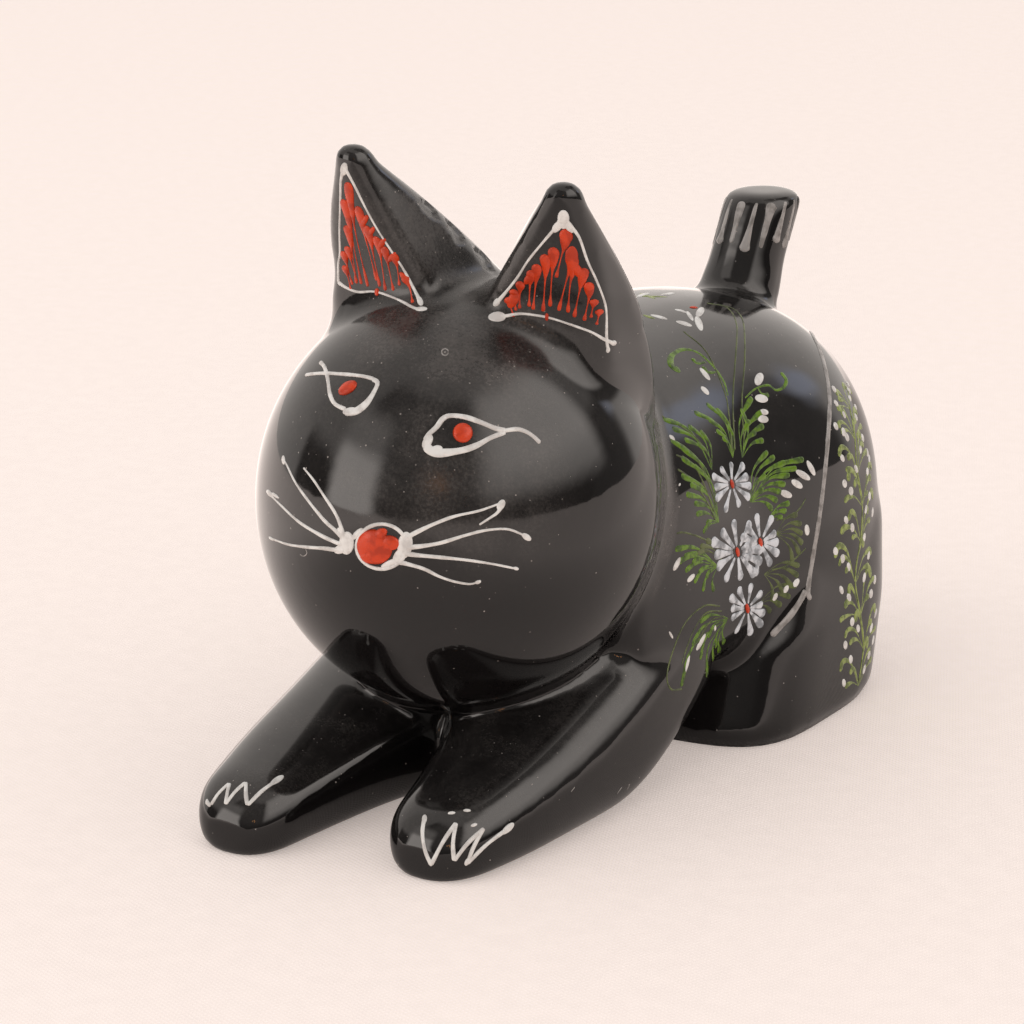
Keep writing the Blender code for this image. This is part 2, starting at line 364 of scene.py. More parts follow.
@dataclass
class Foreleg:
    """One foreleg, flat on the floor, from the root inside the body to the paw."""

    side: int
    reach: float
    root_back: float = 15.0
    shoulder_height: float = 15.4
    shoulder_half_width: float = 18.3
    elbow_back: float = 1.0
    paw_height: float = 6.2
    paw_length: float = 5.0
    paw_inner: float = 4.7
    paw_outer: float = 14.3
    sink: float = 0.6
    top_power: float = 2.35
    sole_power: float = 3.0
    root_power: float = 1.5
    nose_power: float = 2.4
    nose_width: float = 0.3
    nose_rise: float = 0.35
    nose_lift: float = 0.145
    inner_line: Stations = ((-0.6, -0.43), (0.1, -0.21), (0.5, 0.43), (0.8, 0.81), (1.0, 1.0))
    low_line: Stations = ((-0.6, 0.558), (-0.4, 0.39), (-0.1, 0.091), (0.06, -0.013))
    outer_line: Stations = ((-0.6, 0.2), (-0.3, 0.0), (0.1, 0.0), (0.6, 0.35), (1.0, 1.0))
    top_line: Stations = ((-0.6, -0.39), (-0.2, -0.174), (0.1, 0.13), (0.5, 0.543), (0.85, 0.891),
                          (1.0, 1.0))
    steps: int = 60

    def section(self, y: float) -> Section:
        """Give the leg's section.

        Args:
            y: its place along the cat.

        Returns:
            The section's points.
        """
        ahead = (self.elbow_back - y) / (self.elbow_back + self.reach)
        low_line = tuple((place, self.shoulder_height * part) for place, part in self.low_line)
        low_line += ((0.2, -self.sink), (1.0, -self.sink))
        inner = self.paw_inner * along(self.inner_line, ahead)
        outer_drop = (self.paw_outer - self.shoulder_half_width) * along(self.outer_line, ahead)
        outer = self.shoulder_half_width + outer_drop
        top_drop = (self.paw_height - self.shoulder_height) * along(self.top_line, ahead)
        low = along(low_line, ahead)
        blunt = max(self.paw_length - (self.reach + y), 0.0) / self.paw_length
        nose = math.sqrt(max(1.0 - blunt ** self.nose_power, 0.0))
        half = (outer - inner) / 2.0 * (self.nose_width + (1.0 - self.nose_width) * nose)
        rise = (self.shoulder_height + top_drop - low) / 2.0
        rise *= self.nose_rise + (1.0 - self.nose_rise) * nose
        middle_z = low + rise + self.paw_height * self.nose_lift * (1.0 - nose)
        squarer = self.root_power * smooth_step(0.5 - ahead)
        upper = squircle(half, rise, self.top_power + squarer)
        lower = squircle(half, rise, self.sole_power + squarer)
        outline = [above if above[1] > 0.0 else below for above, below in zip(upper, lower)]
        return [(self.side * ((inner + outer) / 2.0 + x), y, middle_z + z) for x, z in outline]

    def build(self) -> bpy.types.Object:
        """Draw the leg forward from its root to the blunt paw.

        Returns:
            The leg.
        """
        shares = [math.sin(math.pi / 2.0 * step / self.steps) for step in range(self.steps + 1)]
        length = self.root_back + self.reach
        return draw_out("foreleg", [self.section(self.root_back - length * share) for share in shares])


@dataclass
class Head:
    """Ball-shaped head with two upright ears, turned and tilted to the cat's left."""

    radius: float = 19.8
    upper_height: float = 19.6
    lower_height: float = 21.0
    ahead: float = 5.4
    aside: float = 0.4
    centre_height: float = 30.6
    turn: float = 7.5
    tilt: float = 4.9
    ear_rise: float = 14.6
    ear_brow_drop: float = 1.7
    ear_root_drop: float = 13.2
    ear_foot_rise: float = 2.3
    ear_foot_flare: float = 1.2
    ear_rear_swell: float = 0.7
    ear_outer_swell: tuple[float, float] = (1.2, 0.6)
    ear_tip_taper: float = 24.0
    ear_tip: tuple[float, float, float] = (0.548, -0.313, 0.085)
    ear_corners: tuple[tuple[float, float, float], ...] = (
        (0.135, -0.101, 0.096), (0.585, 0.015, 0.106), (0.6, 0.29, 0.177), (0.202, 0.434, 0.253))
    ear_root_shares: tuple[tuple[float, float], ...] = ((0.0, 0.2), (0.0, 0.2), (-0.22, 0.45), (-0.5, 0.2))
    ear_bulge_scale: float = 5.38
    ear_steps: int = 40
    ear_sides: int = 64
    tip_steps: int = 7

    @property
    def crown(self) -> float:
        """Height of the top of the ball."""
        return self.centre_height + self.upper_height

    def middle(self) -> Vector:
        """Give the middle of the ball on the finished figure, in metres."""
        return Vector((self.aside, CatCarving.centre_shift - self.ahead, self.centre_height)) * MM

    def placement(self) -> Matrix:
        """Turn and tilt about the middle of the ball, and move it ahead of the chest.

        Returns:
            The matrix that does so.
        """
        pivot = Vector((0.0, 0.0, self.centre_height)) * MM
        turned = Matrix.Rotation(math.radians(self.turn), 4, 'Z')
        turned = turned @ Matrix.Rotation(math.radians(self.tilt), 4, 'Y')
        moved = Matrix.Translation(pivot + Vector((self.aside, -self.ahead, 0.0)) * MM)
        return moved @ turned @ Matrix.Translation(-pivot)

    def ball(self) -> bpy.types.Object:
        """Shape the head's ball, a little deeper at the jaw than at the brow.

        Returns:
            The ball, before the head is turned.
        """
        deselect()
        centre = (0.0, 0.0, self.centre_height * MM)
        bpy.ops.mesh.primitive_uv_sphere_add(segments=128, ring_count=96, radius=self.radius * MM,
                                             location=centre)
        ball = bpy.context.object
        bpy.ops.object.transform_apply(location=True, rotation=False, scale=False)
        for lower, height in ((False, self.upper_height), (True, self.lower_height)):
            for vert in ball.data.vertices:
                vert.select = (vert.co.z < centre[2] - MM * 0.01) if lower else (vert.co.z > centre[2])
            bpy.ops.object.mode_set(mode='EDIT')
            bpy.ops.mesh.select_mode(type='VERT')
            bpy.ops.transform.resize(value=(1.0, 1.0, height / self.radius), center_override=centre)
            bpy.ops.object.mode_set(mode='OBJECT')
        return ball

    def hull(self, circles: list[Vector]) -> list[Pixel]:
        """Give the outline stretched round some circles.

        Args:
            circles: each circle's x, y and radius.

        Returns:
            The outline's points.
        """
        outline = []
        for side in range(self.ear_sides):
            angle = 2.0 * math.pi * (side + 0.5) / self.ear_sides
            c, s = math.cos(angle), math.sin(angle)
            x, y, radius = max(circles, key=lambda circle: circle[0] * c + circle[1] * s + circle[2])
            outline.append((x + radius * c, y + radius * s))
        return outline

    def ear(self, side: int) -> bpy.types.Object:
        """Draw one ear up from inside the ball to its rounded tip.

        Args:
            side: +1 for the cat's left ear, -1 for its right.

        Returns:
            The ear, before the head is turned.
        """
        tip = Vector(self.ear_tip) * self.radius
        tip_z = self.crown + self.ear_rise - tip.z * 0.65
        root_z, brow_z = self.crown - self.ear_root_drop, self.crown - self.ear_brow_drop
        foot_z = self.crown + self.ear_foot_rise
        corners = [Vector(corner) * self.radius for corner in self.ear_corners]
        rings = []
        for step in range(self.ear_steps + 1):
            z = root_z + (tip_z - root_z) * step / self.ear_steps
            share = min((z - brow_z) / (tip_z - brow_z), 0.98)
            circles = [corner.lerp(tip, eased_floor(share, low, ease))
                       for corner, (low, ease) in zip(corners, self.ear_root_shares)]
            risen = max(share, 0.0)
            circles[3].z += self.ear_rear_swell * math.sin(math.pi * risen)
            bulge = self.ear_bulge_scale * risen * (1.0 - risen) ** 1.5
            for outer, swell in zip(circles[1:3], self.ear_outer_swell):
                outer.x += swell * bulge
            foot = min(max((foot_z - z) / (foot_z - brow_z), 0.0), 1.0)
            for front in circles[:2]:
                front.z += self.ear_foot_flare * foot ** 2
            rings.append([(side * x, y, z) for x, y in self.hull(circles)])
        last = rings[-1]
        start = math.radians(self.ear_tip_taper)
        for step in range(1, self.tip_steps):
            angle = start + (math.pi / 2.0 - start) * step / self.tip_steps
            size = math.cos(angle) / math.cos(start)
            rise = tip.z * (math.sin(angle) - math.sin(start)) / math.cos(start)
            rings.append([(side * tip.x + (x - side * tip.x) * size, tip.y + (y - tip.y) * size, z + rise)
                          for x, y, z in last])
        return draw_out("ear", rings)

    def build(self) -> list[bpy.types.Object]:
        """Make ball and ears and turn them together.

        Returns:
            The three forms.
        """
        forms = [self.ball(), self.ear(1), self.ear(-1)]
        for form in forms:
            form.data.transform(self.placement())
        return forms


@dataclass
class Tail:
    """Short peg with a flared foot and an eased top edge, leaning back."""

    diameter: float = 8.4
    back: float = 51.5
    lean_back: float = 21.0
    lean_aside: float = 5.0
    skin_height: float = 43.2
    rise: float = 7.4
    sink: float = 9.2
    edge: float = 1.0
    edge_steps: int = 6
    foot_flare: tuple[float, float] = (1.15, 1.1)
    pivot_share: float = 0.65

    def build(self) -> bpy.types.Object:
        """Draw the peg up from inside the rump.

        Returns:
            The peg.
        """
        radius = self.diameter / 2.0
        lean_y, lean_x = math.tan(math.radians(self.lean_back)), math.tan(math.radians(self.lean_aside))
        root, top = self.skin_height - self.sink, self.skin_height + self.rise
        pivot = root + self.sink * self.pivot_share
        low, high = self.foot_flare
        levels = [(root, radius * low), (pivot, radius * high), (self.skin_height, radius)]
        levels.append((top - self.edge, radius))
        for step in range(1, self.edge_steps + 1):
            angle = math.pi / 2.0 * step / self.edge_steps
            levels.append((top - self.edge + self.edge * math.sin(angle),
                           radius - self.edge + self.edge * math.cos(angle)))
        rings = [[(x + (z - pivot) * lean_x, self.back + (z - pivot) * lean_y + y, z)
                  for x, y in squircle(size, size, 2.0)] for z, size in levels]
        return draw_out("tail", rings)


@dataclass
class Chips:
    """Small breaks along the rear ridge of the right ear, placed by pixels of the photograph."""

    places: tuple = (((425, 205), 0.6), ((431, 209), 0.9), ((452, 227), 0.7), ((457, 233), 1.0),
                     ((478, 252), 0.6), ((485, 259), 1.0), ((488, 264), 0.7))
    depth: float = 0.26

    def cut(self, cat: bpy.types.Object) -> None:
        """Press each break into the skin of the carving.

        Args:
            cat: the carving.
        """
        camera, surface = PictureCamera(), surface_of(cat)
        points, _, _ = CatCarving().shape(cat)
        chosen = np.zeros(len(points), dtype=bool)
        for pixel, radius in self.places:
            spot = surface.ray_cast(*camera.ray(pixel))[0]
            if spot is not None:
                chosen |= np.linalg.norm(points - np.array(spot), axis=1) < radius * MM
        bpy.ops.object.mode_set(mode='EDIT')
        bpy.ops.mesh.select_mode(type='VERT')
        bpy.ops.mesh.select_all(action='DESELECT')
        bpy.ops.object.mode_set(mode='OBJECT')
        cat.data.vertices.foreach_set("select", chosen)
        bpy.ops.object.mode_set(mode='EDIT')
        bpy.ops.transform.shrink_fatten(value=-self.depth * MM)
        bpy.ops.object.mode_set(mode='OBJECT')


@dataclass
class CatCarving:
    """The whole figure, carved from one block and rounded over under thick lacquer."""

    centre_shift: float = -14.05
    skin_step: float = 0.47
    even_passes: int = 26
    pooling_passes: int = 90
    ear_share: float = 0.4
    hollow_depth: float = 0.004
    hollow_spread: int = 6
    sharp_edge: float = 62.0
    left_reach: float = 27.0
    right_reach: float = 31.3
    weight_levels: int = 20

    def soften(self, cat: bpy.types.Object, weights: np.ndarray, passes: int) -> None:
        """Smooth the carving, each point by its own weight.

        Args:
            cat: the carving.
            weights: a weight between 0 and 1 for each point.
            passes: how often the smoothing is repeated.
        """
        group = cat.vertex_groups.new(name="soften")
        levels = np.rint(weights * self.weight_levels).astype(int)
        for level in np.unique(levels):
            group.add(np.flatnonzero(levels == level).tolist(), level / self.weight_levels, 'REPLACE')
        soften = cat.modifiers.new("soften", 'SMOOTH')
        soften.factor = 0.5
        soften.iterations = passes
        soften.vertex_group = group.name
        bpy.ops.object.modifier_apply(modifier=soften.name)
        cat.vertex_groups.clear()

    def shape(self, cat: bpy.types.Object) -> tuple[np.ndarray, np.ndarray, np.ndarray]:
        """Read the carving's mesh.

        Args:
            cat: the carving.

        Returns:
            The places of its points, their outward directions and its edges.
        """
        count = len(cat.data.vertices)
        places, normals = np.empty(count * 3), np.empty(count * 3)
        edges = np.empty(len(cat.data.edges) * 2, dtype=np.int64)
        cat.data.vertices.foreach_get("co", places)
        cat.data.vertex_normals.foreach_get("vector", normals)
        cat.data.edges.foreach_get("vertices", edges)
        return places.reshape(-1, 3), normals.reshape(-1, 3), edges.reshape(-1, 2)

    def around(self, values: np.ndarray, edges: np.ndarray) -> np.ndarray:
        """Give each point the mean of its neighbours' values.

        Args:
            values: a value or a row of values for each point.
            edges: the pairs of points that are neighbours.

        Returns:
            The means.
        """
        first, second = edges[:, 0], edges[:, 1]
        total = np.zeros_like(values)
        np.add.at(total, first, values[second])
        np.add.at(total, second, values[first])
        count = np.bincount(edges.ravel(), minlength=len(values)).astype(float)
        return total / np.maximum(count, 1.0).reshape((-1,) + (1,) * (values.ndim - 1))

    def ear_weights(self, cat: bpy.types.Object) -> np.ndarray:
        """Give a smaller weight to the ears, whose edges stay crisp.

        Args:
            cat: the carving.

        Returns:
            A weight for each point.
        """
        places, _, _ = self.shape(cat)
        head = Head()
        away = np.linalg.norm(places - np.array(head.middle()), axis=1) / MM - head.radius
        proud = np.clip((away - 1.5) / 2.5, 0.0, 1.0)
        proud *= (places[:, 2] > (head.centre_height + 6.0) * MM) & (places[:, 1] < 2.0 * MM)
        return 1.0 - (1.0 - self.ear_share) * proud

    def hollow_weights(self, cat: bpy.types.Object) -> np.ndarray:
        """Give the creases a weight near 1, where thick lacquer pools, and the rest none.

        Args:
            cat: the carving.

        Returns:
            A weight for each point.
        """
        places, normals, edges = self.shape(cat)
        bend = ((self.around(places, edges) - places) * normals).sum(axis=1) / MM
        bend = self.around(bend, edges)
        weights = np.clip(bend / self.hollow_depth - 0.5, 0.0, 1.0)
        for _ in range(self.hollow_spread):
            weights = np.maximum(weights, self.around(weights, edges) * 1.05)
        return np.clip(weights, 0.0, 1.0)

    def build(self, finish: "GlossLacquer") -> bpy.types.Object:
        """Join the forms into one skin, round it over and cut it flat at the floor.

        Args:
            finish: the lacquer that covers it.

        Returns:
            The carving, which stands for the CAD solid.
        """
        parts = (Torso(), HindLegs(), Foreleg(1, self.left_reach), Foreleg(-1, self.right_reach), Tail())
        forms = [part.build() for part in parts] + Head().build()
        select_only(forms)
        bpy.ops.object.join()
        cat = bpy.context.object
        cat.name = "lacquered_cat"
        cat.data.transform(Matrix.Translation((0.0, self.centre_shift * MM, 0.0)))
        skin = cat.modifiers.new("skin", 'REMESH')
        skin.mode = 'VOXEL'
        skin.voxel_size = self.skin_step * MM
        bpy.ops.object.modifier_apply(modifier=skin.name)
        self.soften(cat, self.ear_weights(cat), self.even_passes)
        self.soften(cat, self.hollow_weights(cat), self.pooling_passes)
        Chips().cut(cat)
        bpy.ops.object.mode_set(mode='EDIT')
        bpy.ops.mesh.select_all(action='SELECT')
        bpy.ops.mesh.bisect(plane_co=(0.0, 0.0, 0.0), plane_no=(0.0, 0.0, 1.0), use_fill=True,
                            clear_inner=True, threshold=0.001 * MM)
        bpy.ops.object.mode_set(mode='OBJECT')
        bpy.ops.object.shade_smooth_by_angle(angle=math.radians(self.sharp_edge))
        cat.data.materials.clear()
        cat.data.materials.append(finish.material())
        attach(cat, BODY)
        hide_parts("cat_figure")
        log.info("carving: %d faces", len(cat.data.polygons))
        return cat


# Finishes

@dataclass(frozen=True)
class GlossLacquer:
    """Black lacquer brushed thickly over sanded wood.

    It gives the eye a deep black with clear reflections that waver a little, hazed by
    fine dust on the brow and flecked with settled specks.
    """

    colour: str = "#110f0f"
    dust_colour: str = "#b5aaa2"
    clean_roughness: float = 0.045
    dusty_roughness: float = 0.42
    ior: float = 1.5
    ripple_mm: float = 5.0
    ripple_depth_mm: float = 0.012
    haze_mm: float = 5.0
    haze_strength: float = 0.2
    speck_mm: float = 0.5
    speck_radius: float = 0.17
    speck_cover: float = 0.8
    speck_height_mm: float = 0.02
    grain_mm: float = 0.3
    groove_mm: float = 0.8
    groove_reach_mm: tuple[float, float] = (1.1, 0.5)
    groove_dust: float = 0.9
    groove_start_mm: tuple[float, float] = (-13.0, -8.0)
    level_dust: float = 0.4
    dusty_spots: tuple = (((4.5, -26.0, 49.0), 17.0, 1.0), ((-1.0, -20.0, 56.0), 15.0, 0.95),
                          ((9.0, -33.5, 41.0), 17.0, 0.7), ((-3.0, -37.0, 42.0), 14.0, 0.4))

    def dust(self, add: Callable, place: Socket) -> Socket:
        """Give the share of dust on level skin, round the dusty spots and in the neck's groove.

        Args:
            add: what adds a node to the lacquer's tree.
            place: the place on the cat.

        Returns:
            The share of dust there.
        """
        upward = add("SeparateXYZ", (add("NewGeometry", output="Normal"),), "Z")
        settled = add("MapRange", (upward, 0.05, 0.95, 0.0, self.level_dust), **SMOOTH)
        for spot, reach, share in self.dusty_spots:
            away = add("VectorMath", (place, Vector(spot) * MM), "Value", operation='DISTANCE')
            near = add("MapRange", (away, reach * MM, 0.25 * reach * MM, 0.0, share), **SMOOTH)
            settled = add("Math", (settled, near), operation='MAXIMUM')
        away = add("VectorMath", (place, Head().middle()), "Value", operation='DISTANCE')
        off_ball = add("Math", (away, (Head.radius + self.groove_mm) * MM), operation='SUBTRACT')
        beside = add("Math", (off_ball,), operation='ABSOLUTE')
        outer, inner = (reach * MM for reach in self.groove_reach_mm)
        groove = add("MapRange", (beside, outer, inner, 0.0, self.groove_dust), **SMOOTH)
        start, end = (y * MM for y in self.groove_start_mm)
        behind = add("MapRange", (add("SeparateXYZ", (place,), "Y"), start, end), **SMOOTH)
        groove = add("Math", (groove, behind), operation='MULTIPLY')
        return add("Math", (settled, groove), operation='MAXIMUM')

    def specks(self, add: Callable, place: Socket, settled: Socket) -> Socket:
        """Scatter specks, more of them where dust has settled.

        Args:
            add: what adds a node to the lacquer's tree.
            place: the place on the cat.
            settled: the share of dust there.

        Returns:
            How strong a speck is there, or 0 between specks.
        """
        cell = add("TexVoronoi", {"Vector": place, "Scale": 1.0 / (self.speck_mm * MM)}, "Distance")
        chance = add("SeparateColor", (cell.node.outputs["Color"],)).node.outputs
        size = add("MapRange", (chance["Green"], 0.2, 1.0, 0.3 * self.speck_radius, self.speck_radius),
                   **SMOOTH)
        dot = add("Math", (cell, size), operation='LESS_THAN')
        share = add("MapRange", (settled, 0.0, 1.0, 0.1, 0.6), **SMOOTH)
        chosen = add("Math", (chance["Red"], share), operation='LESS_THAN')
        speck = add("Math", (dot, chosen), operation='MULTIPLY')
        return add("Math", (speck, chance["Blue"]), operation='MULTIPLY')

    def material(self) -> bpy.types.Material:
        """Make the lacquer's material.

        Returns:
            The material.
        """
        material, tree, shader = new_material("black_gloss_lacquer")
        add = partial(add_node, tree)
        place = add("TexCoord", output="Object")
        settled = self.dust(add, place)
        speck = self.specks(add, place, settled)
        cloud = add("TexNoise", {"Vector": place, "Scale": 1.0 / (self.haze_mm * MM), "Detail": 6.0,
                                 "Roughness": 0.65}, "Fac")
        grain = add("TexNoise", {"Vector": place, "Scale": 1.0 / (self.grain_mm * MM), "Detail": 3.0,
                                 "Roughness": 0.7}, "Fac")
        patchy = add("Math", (add("MapRange", (cloud, 0.36, 0.68, 0.3, 1.0), **SMOOTH),
                              add("MapRange", (grain, 0.35, 0.75, 0.35, 1.0), **SMOOTH)),
                     operation='MULTIPLY')
        haze = add("Math", (settled, patchy), operation='MULTIPLY')
        film = add("Math", (haze, self.haze_strength), operation='MULTIPLY')
        covered = add("Math", (speck, self.speck_cover), operation='MULTIPLY')
        cover = add("Math", (film, covered), operation='MAXIMUM')
        veil = add("Math", (patchy, 0.45, 0.45), operation='MULTIPLY_ADD')
        veil = add("Math", (settled, veil), operation='MULTIPLY')
        dulled = add("Math", (veil, speck), operation='MAXIMUM')
        wave = add("TexNoise", {"Vector": place, "Scale": 1.0 / (self.ripple_mm * MM), "Detail": 1.5,
                                "Roughness": 0.4}, "Fac")
        ripple = add("Bump", {"Height": wave, "Strength": 1.0, "Distance": self.ripple_depth_mm * MM})
        feed(tree, shader, {
            "Base Color": add("Mix", {0: cover, 6: linear(self.colour), 7: linear(self.dust_colour)}, 2,
                              data_type='RGBA'),
            "Roughness": add("MapRange", (dulled, 0.0, 1.0, self.clean_roughness, self.dusty_roughness),
                             **SMOOTH),
            "IOR": self.ior,
            "Normal": add("Bump", {"Height": speck, "Strength": 0.6, "Distance": self.speck_height_mm * MM,
                                   "Normal": ripple})})
        return material


@dataclass(frozen=True)
class EnamelPaint:
    """Enamel paint laid on with a fine brush, a little uneven and glossy on its crests."""

    name: str
    colour: str
    thin_colour: str
    roughness: float = 0.28
    patch_mm: float = 1.1
    brush_mm: float = 0.25
    brush_depth_mm: float = 0.015
    gloss: float = 0.35

    def material(self) -> bpy.types.Material:
        """Make the paint's material, or give back the one already made.

        Returns:
            The material.
        """
        if self.name in bpy.data.materials:
            return bpy.data.materials[self.name]
        material, tree, shader = new_material(self.name)
        add = partial(add_node, tree)
        place = add("TexCoord", output="Object")
        patch = add("TexNoise", {"Vector": place, "Scale": 1.0 / (self.patch_mm * MM), "Detail": 3.0},
                    "Fac")
        streak = add("TexNoise", {"Vector": place, "Scale": 1.0 / (self.brush_mm * MM)}, "Fac")
        thin = add("MapRange", (patch, 0.4, 0.64, 0.0, 0.9), **SMOOTH)
        feed(tree, shader, {
            "Base Color": add("Mix", {0: thin, 6: linear(self.colour), 7: linear(self.thin_colour)}, 2,
                              data_type='RGBA'),
            "Roughness": add("MapRange", (patch, 0.3, 0.7, self.roughness - 0.06, self.roughness + 0.1),
                             **SMOOTH),
            "Specular IOR Level": self.gloss,
            "Normal": add("Bump", {"Height": streak, "Strength": 1.0,
                                   "Distance": self.brush_depth_mm * MM})})
        return material


# Thick warm white enamel: raised, clean lines.
WHITE = EnamelPaint("white_enamel", "#efeae4", "#cfc8c2")
# Vermilion enamel in heavy drops, darker where it runs thin.
RED = EnamelPaint("vermilion_enamel", "#d8421c", "#b23213")
# White enamel brushed so thinly that the black shows through in streaks.
PETAL_WHITE = EnamelPaint("thin_white_enamel", "#dfe0e3", "#7f8184")
# Leaf green enamel, patchy from one short stroke to the next.
LEAF_GREEN = EnamelPaint("leaf_green_enamel", "#63850c", "#2b4205", patch_mm=0.7)
# Green enamel let down with white, for the haunch.
PALE_GREEN = EnamelPaint("pale_green_enamel", "#97a355", "#5a6630", patch_mm=0.7)
# Dull olive enamel, thin enough to sink back into the black.
OLIVE = EnamelPaint("olive_green_enamel", "#5a6430", "#343c1a")
# White enamel thinned to a grey film, for long lines.
GREY_LINE = EnamelPaint("thinned_white_enamel", "#aaa39e", "#7d7772")


# Camera and brush

@dataclass(frozen=True)
class PictureCamera:
    """The camera that the photograph was taken with, as fitted to the figure."""

    azimuth: float = 32.0
    elevation: float = 16.5
    distance: float = 0.340
    target: tuple[float, float, float] = (0.003, -0.01405, 0.028)
    lens: float = 121.92
    sensor: float = 36.0

    def axes(self) -> tuple[Vector, Vector, Vector, Vector]:
        """Place the camera.

        Returns:
            Its place and its right, up and backward directions.
        """
        back = direction(self.azimuth, self.elevation)
        right = Vector((math.cos(math.radians(self.azimuth)), math.sin(math.radians(self.azimuth)), 0.0))
        return Vector(self.target) + back * self.distance, right, back.cross(right), back

    def build(self) -> None:
        """Add the camera to the scene."""
        place, right, up, back = self.axes()
        bpy.ops.object.camera_add(location=place)
        camera = bpy.context.object
        camera.name = "picture_camera"
        turned = Matrix((right, up, back)).transposed().to_4x4()
        camera.matrix_world = Matrix.Translation(place) @ turned
        camera.data.sensor_width = self.sensor
        camera.data.lens = self.lens
        camera.data.clip_start = 0.01
        bpy.context.scene.camera = camera

    def ray(self, pixel: Pixel) -> tuple[Vector, Vector]:
        """Give the sight line through a pixel.

        Args:
            pixel: its place in the picture, across and down.

        Returns:
            The line's start and direction.
        """
        place, right, up, back = self.axes()
        scale = self.sensor / self.lens / PICTURE_SIDE
        half = PICTURE_SIDE / 2.0
        across, rise = (pixel[0] - half) * scale, (half - pixel[1]) * scale
        return place, (right * across + up * rise - back).normalized()

    @property
    def pixel_mm(self) -> float:
        """Size of one pixel at the target, in millimetres."""
        return self.distance / MM * self.sensor / self.lens / PICTURE_SIDE


class Touch(Enum):
    """How the brush is pressed along a stroke, as stations of relative width."""

    LINE = ((0.0, 1.0), (1.0, 1.0))
    PRESS = ((0.0, 0.5), (0.35, 0.62), (0.75, 1.0), (1.0, 0.85))
    SWELL = ((0.0, 1.0), (0.15, 0.7), (0.5, 0.55), (0.85, 0.7), (1.0, 1.0))
    FADE = ((0.0, 1.15), (0.25, 0.9), (0.7, 0.6), (1.0, 0.5))
    DRIP = ((0.0, 0.9), (0.12, 1.0), (0.26, 0.75), (0.42, 0.22), (0.8, 0.15), (0.93, 0.36), (1.0, 0.34))
    PETAL = ((0.0, 0.3), (0.5, 0.6), (0.85, 1.0), (1.0, 0.85))
    HOOK = ((0.0, 0.18), (0.42, 0.26), (0.64, 0.6), (0.88, 1.0), (1.0, 0.9))
    CURL = ((0.0, 0.35), (0.5, 0.6), (0.8, 0.85), (0.94, 1.3), (1.0, 1.2))
    BLOB = ((0.0, 1.0), (0.5, 1.0), (1.0, 1.0))


@dataclass
class StrokeBlank:
    """A straight stroke with a domed top, made once and then bent along each path."""

    rings: int
    sides: int = 8
    dome_power: float = 0.8
    mesh: bpy.types.Mesh | None = None

    def build(self) -> None:
        """Draw the blank out ring by ring and keep its mesh."""
        section = []
        for side in range(self.sides - 1):
            angle = math.pi * side / (self.sides - 2)
            section.append((math.cos(angle), math.sin(angle) ** self.dome_power))
        section.append((0.0, -1.0))
        blank = draw_out("stroke_blank", [[(x, z, float(ring)) for x, z in section]
                                          for ring in range(self.rings)], 1.0)
        self.mesh = blank.data
        self.mesh.shade_smooth()
        bpy.data.objects.remove(blank)


@dataclass
class Easel:
    """The carving as the painter sees it: its surface, the camera and the stroke blanks."""

    surface: BVHTree
    camera: PictureCamera
    blanks: dict[int, StrokeBlank] = field(default_factory=dict)
    ring_choices: tuple[int, ...] = (8, 14, 24, 48, 96)
    ring_mm: float = 0.38
    spare_rings: float = 6.0

    def touch_down(self, pixel: Pixel) -> Vector | None:
        """Find the point of the carving that a pixel shows, or None beside it."""
        start, way = self.camera.ray(pixel)
        return self.surface.ray_cast(start, way)[0]

    def nearest(self, point: Vector) -> tuple[Vector, Vector]:
        """Find the nearest point of the carving, and the direction that faces out there."""
        spot, normal, _, _ = self.surface.find_nearest(point)
        return spot, normal

    def blank(self, length_mm: float) -> StrokeBlank:
        """Give a blank with enough rings.

        Args:
            length_mm: the stroke's length.

        Returns:
            The blank, made when it is first wanted.
        """
        wanted = self.spare_rings + length_mm / self.ring_mm
        rings = next((count for count in self.ring_choices if count >= wanted), self.ring_choices[-1])
        if rings not in self.blanks:
            self.blanks[rings] = StrokeBlank(rings)
            self.blanks[rings].build()
        return self.blanks[rings]


@dataclass
class Path:
    """One stroke's route on the carving, its full width in millimetres and its touch."""

    points: list[Vector]
    width: float
    touch: Touch


